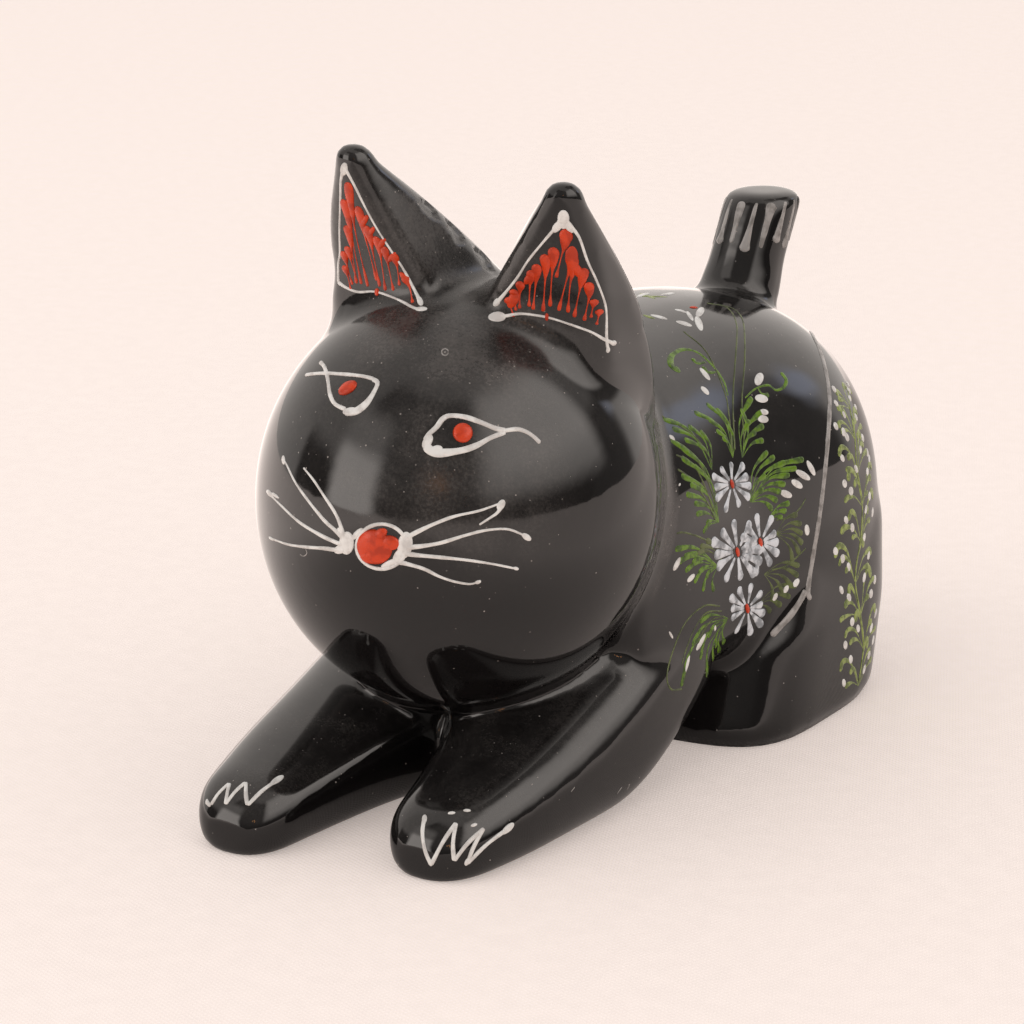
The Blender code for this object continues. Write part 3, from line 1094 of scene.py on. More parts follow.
@dataclass
class Brush:
    """A brush of one colour that paints one piece, stroke by stroke."""

    easel: Easel
    name: str
    paint: EnamelPaint
    thickness: float = 0.13
    sink: float = 0.1
    edge_sink: float = 0.03
    floor_gap: float = 0.02
    waver: float = 0.07
    waver_pace: float = 2.1
    end_crowding: float = 0.65
    least_press: float = 0.35
    least_end: float = 0.15
    end_point: float = 0.02
    pixel_step: float = 2.0
    longest_step: float = 1.6 * MM
    route_step: float = 0.3 * MM
    neck_gap: float = 0.0
    paths: list[Path] = field(default_factory=list)
    strokes: list[bpy.types.Object] = field(default_factory=list)

    def curve(self, pixels: list[Pixel], width_px: float, touch: Touch = Touch.LINE) -> None:
        """Paint a smooth stroke through pixels of the photograph.

        Args:
            pixels: two or more places along the stroke.
            width_px: its full width in pixels.
            touch: how the brush is pressed along it.
        """
        spots = [Vector((x, y, 0.0)) for x, y in pixels]
        runs: list[list[Vector]] = [[]]
        head = Head().middle()
        for spot in smooth_route(spots, self.pixel_step):
            hit = self.easel.touch_down((spot.x, spot.y))
            if hit is None or (hit - head).length < self.neck_gap * MM:
                continue
            if runs[-1] and (hit - runs[-1][-1]).length > self.longest_step:
                runs.append([])
            runs[-1].append(hit)
        points = max(runs, key=len)
        if len(points) > 1:
            self.lay(Path(points, width_px * self.easel.camera.pixel_mm, touch))

    def dab(self, pixel: Pixel, width_px: float, length_px: float = 0.0, angle: float = 0.0) -> None:
        """Paint a round or oval spot.

        Args:
            pixel: its middle.
            width_px: its width in pixels.
            length_px: its length, where it is longer than wide.
            angle: how far its long way is turned from the picture's level, in degrees.
        """
        reach = max(length_px, width_px) / 2.0
        c, s = math.cos(math.radians(angle)), -math.sin(math.radians(angle))
        ends = [(pixel[0] - c * reach, pixel[1] - s * reach), (pixel[0] + c * reach, pixel[1] + s * reach)]
        self.curve(ends, width_px, Touch.BLOB)

    def route(self, points: list[Vector], width: float, touch: Touch = Touch.LINE) -> None:
        """Paint a stroke near points in metres, snapped to the carving."""
        spots = [self.easel.nearest(point)[0] for point in smooth_route(points, self.route_step)]
        self.lay(Path(spots, width, touch))

    def curves(self, lines: tuple, width_px: float, touch: Touch = Touch.LINE) -> None:
        """Paint one stroke after another, all of one width and touch."""
        for line in lines:
            self.curve(line, width_px, touch)

    def dabs(self, spots: tuple) -> None:
        """Paint spots, each given by its place, width, length and angle."""
        for spot in spots:
            self.dab(*spot)

    def mirror(self, other: "Brush") -> None:
        """Repeat another brush's strokes on the other side of the cat.

        Args:
            other: the brush whose strokes are repeated.
        """
        for path in other.paths:
            points = [self.easel.nearest(Vector((-p.x, p.y, p.z)))[0] for p in path.points]
            self.lay(Path(points, path.width, path.touch))

    def lay(self, path: Path) -> None:
        """Bend a copy of the stroke blank along a path on the carving.

        Args:
            path: the stroke's route, width and touch.
        """
        spots = np.array([p[:] for p in path.points])
        steps = np.linalg.norm(np.diff(spots, axis=0), axis=1)
        keep = np.concatenate(([True], steps > 1e-6))
        spots = spots[keep]
        if len(spots) < 2:
            return
        gone = np.concatenate(([0.0], np.cumsum(np.linalg.norm(np.diff(spots, axis=0), axis=1))))
        length = gone[-1]
        blank = self.easel.blank(length / MM)
        share = np.linspace(0.0, 1.0, blank.rings)
        crowded = 0.5 - 0.5 * np.cos(np.pi * share)
        share = (1.0 - self.end_crowding) * share + self.end_crowding * crowded
        places = np.stack([np.interp(share * length, gone, spots[:, axis]) for axis in range(3)], axis=1)
        found = [self.easel.nearest(Vector(p)) for p in places]
        places = np.array([spot[:] for spot, _ in found])
        normals = np.array([normal[:] for _, normal in found])
        for _ in range(3):
            normals[1:-1] = normals[:-2] + 2.0 * normals[1:-1] + normals[2:]
            normals /= np.linalg.norm(normals, axis=1, keepdims=True)
        ways = np.gradient(places, axis=0)
        ways /= np.maximum(np.linalg.norm(ways, axis=1, keepdims=True), 1e-12)
        sides = np.cross(ways, normals)
        sides /= np.maximum(np.linalg.norm(sides, axis=1, keepdims=True), 1e-12)
        half = path.width * MM / 2.0
        relative = np.array([along(path.touch.value, t) for t in share])
        wobble = 1.0 + self.waver * np.sin(share * length / MM * self.waver_pace + len(self.strokes))
        widths = half * relative * (wobble if path.touch is not Touch.BLOB else 1.0)
        end = np.minimum(share, 1.0 - share) * length / np.maximum(widths, 1e-6)
        if path.touch is Touch.BLOB:
            end = 2.0 * np.minimum(share, 1.0 - share)
        rounding = np.sqrt(np.clip(1.0 - (1.0 - np.clip(end, 0.0, 1.0)) ** 2, 0.0, 1.0))
        widths = widths * np.maximum(rounding, self.end_point)
        pressed = self.least_press + (1.0 - self.least_press) * relative
        tapered = self.least_end + (1.0 - self.least_end) * rounding
        thickness = self.thickness * MM * pressed * tapered
        thickness = np.minimum(thickness, widths * 0.9 + 0.01 * MM)
        mesh = blank.mesh.copy()
        flat = np.empty(len(mesh.vertices) * 3)
        mesh.vertices.foreach_get("co", flat)
        flat = flat.reshape(-1, 3)
        ring = np.rint(flat[:, 2]).astype(int)
        rise = np.where(flat[:, 1] > 0.0, flat[:, 1] * thickness[ring], flat[:, 1] * self.sink * MM)
        out = (places[ring] + sides[ring] * (flat[:, 0] * widths[ring])[:, None]
               + normals[ring] * (rise - self.edge_sink * MM)[:, None])
        out[:, 2] = np.maximum(out[:, 2], self.floor_gap * MM)
        mesh.vertices.foreach_set("co", out.ravel())
        stroke = bpy.data.objects.new(self.name, mesh)
        bpy.context.collection.objects.link(stroke)
        self.strokes.append(stroke)
        self.paths.append(path)

    def finish(self) -> None:
        """Join the strokes into one piece, dress it and let it ride on the cat."""
        select_only(self.strokes)
        bpy.ops.object.join()
        piece = bpy.context.object
        piece.name = self.name
        bpy.ops.object.mode_set(mode='EDIT')
        bpy.ops.mesh.select_all(action='SELECT')
        bpy.ops.mesh.normals_make_consistent(inside=False)
        bpy.ops.object.mode_set(mode='OBJECT')
        piece.data.materials.clear()
        piece.data.materials.append(self.paint.material())
        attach(piece, BODY)
        log.info("%s: %d strokes, %d faces", self.name, len(self.paths), len(piece.data.polygons))


def smooth_route(points: list[Vector], step: float) -> list[Vector]:
    """Run a smooth curve through points.

    Args:
        points: two or more places along the curve.
        step: the distance between the points that are given back, about.

    Returns:
        Points along the curve, both ends included.
    """
    route = []
    for index in range(len(points) - 1):
        start, end = points[index], points[index + 1]
        before = points[index - 1] if index else start * 2.0 - end
        after = points[index + 2] if index + 2 < len(points) else end * 2.0 - start
        count = max(int((end - start).length / step), 2)
        for number in range(count):
            t = number / count
            route.append(0.5 * ((2.0 * start) + (end - before) * t
                                + (2.0 * before - 5.0 * start + 4.0 * end - after) * t ** 2
                                + (3.0 * start - before - 3.0 * end + after) * t ** 3))
    route.append(points[-1])
    return route


# Painting

@dataclass
class EarPainting:
    """White outlines inside both ears, with red drops that run down like a comb."""

    outline_px: float = 4.4
    drop_px: float = 11.0
    right_lines: tuple = (
        ((344, 167), (341, 180), (340.5, 195), (340, 212), (339.5, 232), (340, 254), (338.5, 263),
         (338.5, 283)),
        ((338, 282), (347, 288), (358, 292), (374, 291.5), (388, 295.5), (402, 301.5), (414, 308),
         (422, 309)),
        ((345, 168), (355.3, 187), (364.6, 206), (377, 228.7), (391, 250.4), (403.4, 269), (414, 289),
         (420.4, 302)))
    left_lines: tuple = (
        ((561, 218), (555, 228), (542.2, 243.2), (528.3, 260.3), (517.4, 277.3), (506.5, 291.3),
         (496.5, 303)),
        ((494.2, 316), (505, 316), (520.5, 313.7), (536, 315.3), (551.5, 318.4), (574.8, 326),
         (591.8, 332.3), (604.2, 339.3), (613.5, 343.2)),
        ((565, 218), (570, 225), (579.4, 238), (587.2, 260.3), (596.5, 280.4), (604.2, 300.6),
         (606.5, 314.5), (606.5, 338), (608, 350)))
    blobs: tuple = (
        ((344, 169), 8.5, 13, 75), ((421.5, 309), 7.5, 12, 0), ((420, 301), 6, 10, 110),
        ((563.3, 218.5), 11.5, 17, 88), ((557.5, 226.5), 8, 15, 52), ((569, 226.5), 8, 15, 122),
        ((497, 316.8), 11.5, 18, 0), ((496.5, 302.5), 7, 9, 45), ((613.5, 343), 5.5, 6, 0),
        ((608, 350), 5.5, 6, 90), ((563.3, 225), 9, 9, 0))
    right_drops: tuple = (
        ((348.3, 182), (349.5, 196), (352, 212), (357, 240), (368, 287)),
        ((343, 199), (347, 213), (350, 226), (354.5, 250), (361.5, 284.5)),
        ((346, 225), (349.5, 236), (352.5, 254), (356.5, 284)),
        ((347, 246), (351, 260), (357, 282)),
        ((343, 251), (347, 265), (352.5, 285)),
        ((344, 265), (348, 277), (351, 291)),
        ((357.5, 206), (361, 219), (366, 240), (377, 281)),
        ((365, 225), (370, 238), (374, 258), (380, 287)),
        ((375, 236), (379.5, 249), (382, 266), (385.5, 291)),
        ((383.5, 246), (387, 259), (390, 274), (393.5, 291)),
        ((393, 253), (397, 266), (399.5, 286)),
        ((402.5, 275), (409, 285), (412.7, 303)))
    left_drops: tuple = (
        ((566, 232), (564.5, 246), (561, 258), (556, 278)),
        ((553.8, 247), (553.3, 261), (551.5, 280), (550, 307)),
        ((544.5, 254), (545.8, 267), (544.8, 285), (543, 312)),
        ((537, 264), (536.2, 279), (534.8, 292), (533, 310)),
        ((532, 270), (530, 285), (529, 307)),
        ((520.5, 281), (519.7, 296), (519.5, 309)),
        ((513.5, 289), (515, 303), (516, 311)),
        ((507.5, 297), (511, 308), (513.8, 317)),
        ((571, 248), (570.5, 266), (566, 282), (558.5, 311)),
        ((574, 256), (572.5, 272), (570, 286), (567.8, 313)),
        ((585, 268), (581.5, 282), (578, 298), (574, 317.6)),
        ((588.5, 282), (589.3, 295), (587, 307), (584, 321)),
        ((595, 299), (592, 311), (591, 318)),
        ((600, 309), (598, 319), (596.5, 325)))
    clots: tuple = (
        ((571.5, 257), 13, 22, 85), ((577, 270), 10, 17, 115), ((513, 300), 11, 18, 60),
        ((377, 292), 6, 8, 90), ((364, 221), 7, 14, 55), ((381, 244), 7, 14, 50), ((546.8, 317), 4, 8, 90),
        ((566, 236), 13.5, 14, 90), ((371, 232), 6, 12, 55), ((392, 257), 6, 12, 50),
        ((404, 277), 7, 13, 130), ((528, 279), 7, 12, 60))

    def paint(self, easel: Easel) -> None:
        """Paint both ears.

        Args:
            easel: the carving and the camera.
        """
        lines = Brush(easel, "ear_outlines", WHITE, thickness=0.16)
        lines.curves(self.right_lines + self.left_lines, self.outline_px, Touch.SWELL)
        lines.dabs(self.blobs)
        lines.finish()
        drops = Brush(easel, "ear_combs", RED, thickness=0.2)
        drops.curves(self.right_drops + self.left_drops, self.drop_px, Touch.DRIP)
        drops.dabs(self.clots)
        drops.finish()


@dataclass
class FacePainting:
    """Eyes, nose and whiskers."""

    whisker_px: float = 4.4
    hook_px: float = 3.8
    blister_px: float = 1.6
    blister_core_px: float = 2.6
    hair_px: float = 1.2
    nick_px: float = 1.4
    eye_lines: tuple = (
        (((305.6, 375), (317, 373.6), (329, 373.4), (349.6, 374.7), (364, 376.5), (374, 379)), 4.0,
         Touch.LINE),
        (((372, 378.6), (377.5, 382.5), (375, 390), (369, 400), (362.4, 407), (354.7, 411.5),
         (344.5, 412.5)), 9.0, Touch.PRESS),
        (((320.2, 362), (324, 366), (327, 374.2), (328.6, 384), (330, 394), (333.4, 402), (338, 406),
         (346, 409.5)), 4.4, Touch.LINE),
        (((424.5, 441), (429, 434), (436.6, 427), (443, 418.5), (450.7, 415.6), (464.8, 417), (480, 422),
         (495.5, 428.3), (507, 431)), 5.2, Touch.LINE),
        (((425.5, 444), (429, 449.5), (437, 452.8), (449.4, 452.3), (464.8, 449.6), (477.6, 444.9),
         (490.4, 437.9), (505.8, 431.8)), 9.0, Touch.FADE),
        (((503, 431), (510, 429.8), (518, 429.2), (526.2, 431.8), (533.9, 436.9), (540.3, 443.3)), 4.4,
         Touch.LINE))
    eye_blobs: tuple = (((427.5, 441.5), 9, 16, 60), ((350, 411), 8, 15, 8), ((436, 450), 9, 14, 20))
    pupils: tuple = (((347.8, 387.8), 15, 20.5, 25), ((462.8, 432.8), 19, 20, 90))
    nose_ring: tuple[float, float, float, float] = (381.5, 546.5, 25.0, 22.5)
    nose_ring_px: float = 3.8
    ring_steps: int = 20
    nose_blobs: tuple = (
        ((346.5, 543), 17, 23, 78), ((342, 535), 9, 17, 120), ((341, 549), 9, 15, 20),
        ((405, 545), 15, 27, 80), ((399, 556), 10, 20, 60), ((390, 563), 6, 20, 25),
        ((357, 534), 6, 16, 45))
    nose_red: tuple = (
        ((374.5, 547), 34, 36, 0), ((390, 543), 15, 19, 0), ((380, 534), 10, 16, 30),
        ((372, 556), 16, 24, 0))
    whiskers: tuple = (
        ((344, 537), (339.4, 522), (334.2, 511.2), (324, 495.8), (313.8, 480.4), (303.5, 467.6)),
        ((343, 538), (335, 530), (324, 520), (308.6, 501), (295.8, 483), (286.9, 465), (284, 460)),
        ((343, 545), (333, 541), (318.9, 534.2), (298.4, 521.4), (280.5, 504.8), (269, 493.2)),
        ((345, 550), (335, 549.7), (324, 548.3), (306, 547), (288.2, 544.4), (271.5, 538.6)),
        ((405, 539), (415, 533), (434, 524), (454.6, 516.3), (477.6, 511.2), (493, 506), (501, 503)),
        ((406, 547), (414, 547), (439.2, 543.2), (464.8, 535.5), (485.3, 530.4), (505.8, 529),
         (518.6, 532.9), (528, 538)),
        ((405, 553), (413.6, 554.7), (439.2, 557.2), (464.8, 559.8), (490.4, 563.6), (516.8, 568.8)),
        ((398, 562), (406, 563.6), (423.8, 568.8), (439.2, 576.4), (454.6, 581.6), (469.9, 584),
         (478.9, 581.6)))
    whisker_ends: tuple = (
        ((283.6, 460), 6, 9, 100), ((270, 493.6), 6, 9, 140), ((501, 505), 7.5, 12, 60),
        ((526.5, 537), 6, 11, 145), ((516, 568.5), 3.6, 6, 165), ((478, 582), 4, 7, 20),
        ((275.5, 495.5), 3.6, 9, 145), ((271.5, 538.6), 3.4, 6, 150))
    hook: tuple = ((502, 506), (497, 513), (490.4, 517.6), (479, 525))
    blister: tuple[float, float, float] = (445.0, 352.0, 3.4)
    hair: tuple = ((305, 549), (307, 552), (305.5, 555.5), (302, 556), (300, 554))
    nicks: tuple = (
        ((605, 816), (609, 810)), ((617, 794), (622, 787)), ((627, 790), (630, 784)),
        ((571, 792), (575, 787)), ((486, 258), (490, 263)))

    def ring(self, x: float, y: float, across: float, down: float) -> list[Pixel]:
        """Give a ring as a closed run of pixels."""
        turns = [2.0 * math.pi * step / self.ring_steps for step in range(self.ring_steps + 1)]
        return [(x + across * math.cos(turn), y + down * math.sin(turn)) for turn in turns]

    def paint(self, easel: Easel) -> None:
        """Paint the face.

        Args:
            easel: the carving and the camera.
        """
        white = Brush(easel, "face_lines", WHITE, thickness=0.17)
        for line, width, touch in self.eye_lines:
            white.curve(line, width, touch)
        white.curve(self.ring(*self.nose_ring), self.nose_ring_px)
        white.curves(self.whiskers, self.whisker_px, Touch.FADE)
        white.curve(self.hook, self.hook_px, Touch.FADE)
        white.dabs(self.eye_blobs + self.nose_blobs + self.whisker_ends)
        white.finish()
        red = Brush(easel, "nose_and_pupils", RED, thickness=0.34)
        red.dabs(self.pupils + self.nose_red)
        red.finish()
        flaw = Brush(easel, "lacquer_flaws", GREY_LINE, thickness=0.05)
        x, y, radius = self.blister
        flaw.curve(self.ring(x, y, radius, radius), self.blister_px)
        flaw.dab((x, y), self.blister_core_px)
        flaw.curve(self.hair, self.hair_px)
        flaw.curves(self.nicks, self.nick_px)
        flaw.finish()


@dataclass
class PawPainting:
    """Quick zigzag strokes for the claws."""

    line_px: float = 4.2
    zigzags: tuple = (
        ((207, 801), (208.5, 804), (211, 805.5)),
        ((211, 805), (219, 793), (229.5, 783)),
        ((229.5, 783), (227, 795), (225.5, 804.5)),
        ((225.5, 804.5), (235, 792), (246, 782)),
        ((246, 782), (246, 795), (247.5, 805.5)),
        ((247.5, 805.5), (262, 791), (279, 779)),
        ((424.4, 817), (422.5, 833), (425, 850), (431, 865)),
        ((431, 865), (443, 842), (456, 822.5)),
        ((456, 822.5), (453, 843), (454, 861)),
        ((454, 861), (468, 843), (484, 828)),
        ((484, 828), (474, 846), (467, 864)),
        ((467, 864), (486, 845), (510, 827)))
    blobs: tuple = (
        ((277, 780), 7, 16, 35), ((508, 828.5), 7.5, 16, 40), ((424.5, 819), 5.5, 9, 90),
        ((207, 802), 4.5, 6, 90), ((451.6, 813), 3.6, 8, 5), ((467, 810.5), 3.6, 8, 0),
        ((474, 825), 3.6, 7, 20), ((430, 862), 5, 9, 110), ((467, 862), 5, 8, 70))

    def paint(self, easel: Easel) -> None:
        """Paint both paws.

        Args:
            easel: the carving and the camera.
        """
        white = Brush(easel, "claw_lines", WHITE, thickness=0.16)
        white.curves(self.zigzags, self.line_px)
        white.dabs(self.blobs)
        white.finish()


@dataclass
class Daisy:
    """A daisy of single petal strokes round a red heart, longer below than above."""

    centre: Pixel
    across: float
    up: float
    down: float
    petals: int
    turn: float
    petal_width: float = 0.39
    heart_share: float = 0.18
    reach_share: float = 0.93
    reach_change: float = 0.09
    change_pace: float = 2.3
    heart_spot: tuple[float, float, float] = (6.0, 9.5, 105.0)

    def paint(self, petals: Brush, heart: Brush) -> None:
        """Paint the petals and then the heart.

        Args:
            petals: the brush that paints the petals.
            heart: the brush that paints the heart.
        """
        x, y = self.centre
        width = self.petal_width * (self.across + (self.up + self.down) / 2.0) / 2.0
        for number in range(self.petals):
            angle = 2.0 * math.pi * number / self.petals + self.turn
            c, s = math.cos(angle), math.sin(angle)
            height = self.down if s > 0.0 else self.up
            reach = 1.0 / math.hypot(c / self.across, s / height)
            reach *= self.reach_share + self.reach_change * math.sin(number * self.change_pace + self.turn)
            start = (x + self.heart_share * reach * c, y + self.heart_share * reach * s)
            petals.curve([start, (x + reach * c, y + reach * s)], width, Touch.PETAL)
        heart.dab((x, y), *self.heart_spot)


@dataclass
class Garland:
    """A garland up the haunch: a wavy stem, curled fronds on both sides, and buds, in millimetres."""

    line: Stations = ((2.0, 25.2), (20.0, 25.2), (26.0, 26.2), (31.0, 28.0), (36.0, 28.6))
    outside: float = 24.0
    low: float = 2.2
    step: float = 4.0
    levels: int = 9
    sway: float = 0.9
    sway_pace: float = 1.7
    stem_width: float = 0.3
    full_levels: int = 5
    shrinking: float = 0.05
    fronds: int = 6
    reach: float = 3.2
    reach_change: float = 1.3
    reach_pace: float = 2.1
    rise: float = 0.6
    rise_step: float = 0.75
    root_drop: float = 0.5
    frond_line: tuple = ((0.5, 0.75), (0.95, 1.0), (1.1, 0.72))
    frond_width: float = 0.85
    frond_least: float = 0.85
    frond_more: float = 0.1
    buds: int = 5
    bud_width: float = 0.75
    bud_more: float = 0.12
    bud_out: float = 1.6
    bud_step: float = 0.75
    bud_low: float = 1.0
    bud_jumps: tuple[float, float] = (2.3, 1.3)
    bud_spread: float = 3.4
    bud_lean: tuple[float, float] = (0.35, 0.45)

    def place(self, along_cat: float, height: float) -> Vector:
        """Give a place just outside the haunch, in metres, by its way from the middle and its height."""
        return Vector((self.outside, along(self.line, height) + along_cat, height)) * MM

    def frond(self, level: int, number: int, middle: float, height: float) -> list[Vector]:
        """Give the route of one frond.

        Args:
            level: the level on the stem.
            number: the frond's number there.
            middle: the stem's sway at that level.
            height: the level's height.

        Returns:
            The places along the frond.
        """
        shrink = 1.0 - self.shrinking * max(level - self.full_levels, 0)
        side = 1 if (number + level) % 2 else -1
        reach = side * shrink * (self.reach + self.reach_change * math.sin(self.reach_pace * number + level))
        rise = shrink * (self.rise + self.rise_step * number)
        return [self.place(middle, height - self.root_drop)] + [
            self.place(middle + out * reach, height + up * rise) for out, up in self.frond_line]

    def bud(self, level: int, number: int, middle: float, height: float) -> list[Vector]:
        """Give the two ends of one bud.

        Args:
            level: the level on the stem.
            number: the bud's number there.
            middle: the stem's sway at that level.
            height: the level's height.

        Returns:
            The ends.
        """
        side = -1 if (number + level) % 2 else 1
        jump = (self.bud_jumps[0] * number + self.bud_jumps[1] * level) % self.bud_spread
        spot = self.place(middle + side * (self.bud_out + self.bud_step * number),
                          height + self.bud_low + jump)
        tilt = Vector((0.0, self.bud_lean[0] * side, self.bud_lean[1])) * MM
        return [spot - tilt, spot + tilt]

    def paint(self, green: Brush, buds: Brush) -> None:
        """Paint the garland from the floor up.

        Args:
            green: the brush for stem and fronds.
            buds: the brush for the buds.
        """
        rows = [(level, self.sway * math.sin(self.sway_pace * level), self.low + self.step * level)
                for level in range(self.levels)]
        green.route([self.place(middle, height) for _, middle, height in rows], self.stem_width)
        for level, middle, height in rows:
            for number in range(self.fronds):
                width = self.frond_width * (self.frond_least + self.frond_more * (number % 3))
                green.route(self.frond(level, number, middle, height), width, Touch.HOOK)
            for number in range(self.buds):
                width = self.bud_width + self.bud_more * (number % 3)
                buds.route(self.bud(level, number, middle, height), width, Touch.BLOB)


@dataclass
class FlankPainting:
    """Daisies, comb leaves and curls on both flanks and haunches."""

    frond_px: float = 6.9
    stem_px: float = 2.2
    line_px: float = 7.5
    daisies: tuple = (
        ((732, 484), 21, 25, 31, 11, 0.1),
        ((737.5, 552), 27, 36, 34, 12, 0.4),
        ((760.5, 542.5), 20, 34, 36, 11, 0.0),
        ((747.3, 608.5), 19, 29, 33, 11, 0.3))
    fans: tuple = (
        ((719, 522), ((667, 437), (680, 446), (681, 457), (694, 465), (681, 475), (690, 484), (686, 494),
         (694, 503), (696, 514), (706, 524), (703, 533))),
        ((712, 470), ((661, 418), (672, 428), (688, 425), (684, 439), (700, 430), (697, 443))),
        ((733, 458), ((694, 412), (706, 403), (708, 419), (722, 437), (727, 424), (716, 408), (716, 430))),
        ((742, 458), ((741, 408), (752, 397), (750, 420), (762, 411), (764, 425), (764, 440), (756, 431))),
        ((750, 502), ((804, 459), (797, 468), (790, 475), (786, 484), (782, 492), (778, 501), (773, 510),
         (786, 462), (775, 456), (768, 451), (764, 490), (766, 475))),
        ((768, 521), ((790, 503), (787, 511), (783, 518), (778, 511))),
        ((718, 566), ((675, 549), (684, 556), (676, 563), (692, 562), (685, 571), (698, 574), (694, 583),
         (706, 579), (703, 592), (714, 592))),
        ((728, 618), ((700, 622), (708, 638), (692, 645), (716, 648), (724, 644), (721, 660), (700, 660),
         (707, 677), (681, 687), (714, 668))))
    pale_fans: tuple = (
        ((776, 534), ((798, 514), (802, 524), (803, 534), (803, 544), (800, 554), (793, 563))),
        ((764, 574), ((800, 566), (799, 576), (792, 586), (783, 594), (772, 600))),
        ((758, 604), ((797, 586), (791, 597), (782, 606), (771, 613))),
        ((722, 560), ((700, 546), (696, 553), (706, 540))))
    curls: tuple = (
        (((728, 396), (724.3, 382.5), (714, 367), (698.7, 353), (683.3, 349.2), (671.9, 355.6),
         (671.5, 366), (680.8, 371)), 8.0),
        (((745, 398), (755, 389), (767.9, 385), (775.5, 390), (783.2, 387.6), (786.3, 380),
         (780.6, 372.2)), 5.0),
        (((716, 372), (708, 372), (703, 366)), 7.0),
        (((706, 362), (697, 363), (692, 358)), 7.0),
        (((758, 388), (762, 394), (769, 395)), 6.0))
    stems: tuple = (
        ((732, 450), (729, 415), (724, 390), (706.4, 352), (683, 331)),
        ((735, 450), (733, 400), (736.5, 345), (736.5, 323.6), (727.5, 308), (706.4, 303)),
        ((744, 440), (742, 400), (744.8, 359.4), (743.5, 323.6), (734.6, 309.5), (716.6, 304)),
        ((708, 541), (694, 535), (678, 533), (665, 546), (662, 562), (665, 580), (677, 587), (686, 583)),
        ((720, 606), (704, 606), (686, 622), (674, 648), (667, 675), (671, 689), (682, 689)),
        ((722, 611), (706, 613), (694, 630), (686, 650), (682, 664)),
        ((724, 616), (712, 620), (702, 634), (697, 648)),
        ((714, 512), (702, 480), (690, 462), (664, 450)),
        ((716, 505), (704, 472), (688, 450), (662, 436)),
        ((712, 462), (698, 440), (680, 426), (660, 415)),
        ((715, 520), (706, 500), (690, 478), (672, 466)),
        ((776, 520), (790, 517), (800, 508), (806, 498)),
        ((772, 570), (786, 566), (798, 556), (806, 548)))
    lone_leaves: tuple = (((647, 316), 7, 17, 160), ((648, 296), 7, 17, 160))
    buds: tuple = (
        ((671, 437), 6, 10, 140), ((667, 466), 5, 9, 130), ((678, 482), 4.5, 8, 120),
        ((763, 419), 9, 11, 0), ((705, 374), 9, 16, 128), ((705, 390.5), 9, 11, 140),
        ((759, 379), 10, 13, 60), ((761.5, 398.5), 10, 13, 0), ((764, 412), 7, 9, 0),
        ((811, 468), 8, 17, 120), ((803, 475), 8, 17, 150), ((797, 484), 8, 13, 150),
        ((786, 494), 8, 13, 160), ((677, 564), 8, 15, 60), ((691, 578), 7, 10, 40), ((701, 642), 8, 19, 60),
        ((687, 664), 7, 20, 75), ((715, 628), 4, 6, 90), ((671, 635), 3, 8, 120), ((807, 530), 8, 11, 100),
        ((796, 583), 8, 10, 50), ((786, 589), 7, 9, 60), ((775, 597), 7, 9, 60))
    thigh_lines: tuple = (
        ((780, 309), (795, 316), (808, 328), (819, 348), (826, 372), (829.5, 400), (828, 437), (824, 480),
         (819, 520), (813, 556), (808, 590), (811, 600)),
        ((806, 590), (799, 603), (789, 617), (771, 636)))
    frond_middle: float = 0.55
    frond_bow: float = 0.22
    bow_shares: tuple[float, float] = (0.6, 0.9)
    neck_gap: float = 21.5

    def fan(self, brush: Brush, root: Pixel, tips: tuple[Pixel, ...]) -> None:
        """Paint a comb leaf: fronds that leave one root and end in rounded lobes.

        Args:
            brush: the brush that paints it.
            root: where the fronds start.
            tips: where they end.
        """
        for tip in tips:
            dx, dy = tip[0] - root[0], tip[1] - root[1]
            bow = self.frond_bow if dx < 0 else -self.frond_bow
            middle = (root[0] + self.frond_middle * dx - bow * dy * self.bow_shares[0],
                      root[1] + self.frond_middle * dy + bow * dx * self.bow_shares[1])
            brush.curve([root, middle, tip], self.frond_px, Touch.HOOK)

    def paint(self, easel: Easel) -> None:
        """Paint the left flank, and its like on the right.

        Args:
            easel: the carving and the camera.
        """
        green = Brush(easel, "left_leaves", LEAF_GREEN, thickness=0.1, neck_gap=self.neck_gap)
        for root, tips in self.fans:
            self.fan(green, root, tips)
        for curl, width in self.curls:
            green.curve(curl, width, Touch.CURL)
        olive = Brush(easel, "left_stems", OLIVE, thickness=0.08, neck_gap=self.neck_gap)
        olive.curves(self.stems, self.stem_px)
        for root, tips in self.pale_fans:
            self.fan(olive, root, tips)
        pale = Brush(easel, "left_haunch_leaves", PALE_GREEN, thickness=0.09)
        pale.dabs(self.lone_leaves)
        petals = Brush(easel, "left_petals", PETAL_WHITE, thickness=0.14)
        hearts = Brush(easel, "left_hearts", RED, thickness=0.2)
        for daisy in self.daisies:
            Daisy(*daisy).paint(petals, hearts)
        buds = Brush(easel, "left_buds", WHITE, thickness=0.13, neck_gap=self.neck_gap)
        buds.dabs(self.buds)
        Garland().paint(pale, buds)
        lines = Brush(easel, "left_thigh_lines", GREY_LINE, thickness=0.13)
        lines.curves(self.thigh_lines, self.line_px)
        for brush in (green, olive, pale, petals, hearts, buds, lines):
            other = Brush(easel, brush.name.replace("left", "right"), brush.paint, brush.thickness)
            other.mirror(brush)
            brush.finish()
            other.finish()


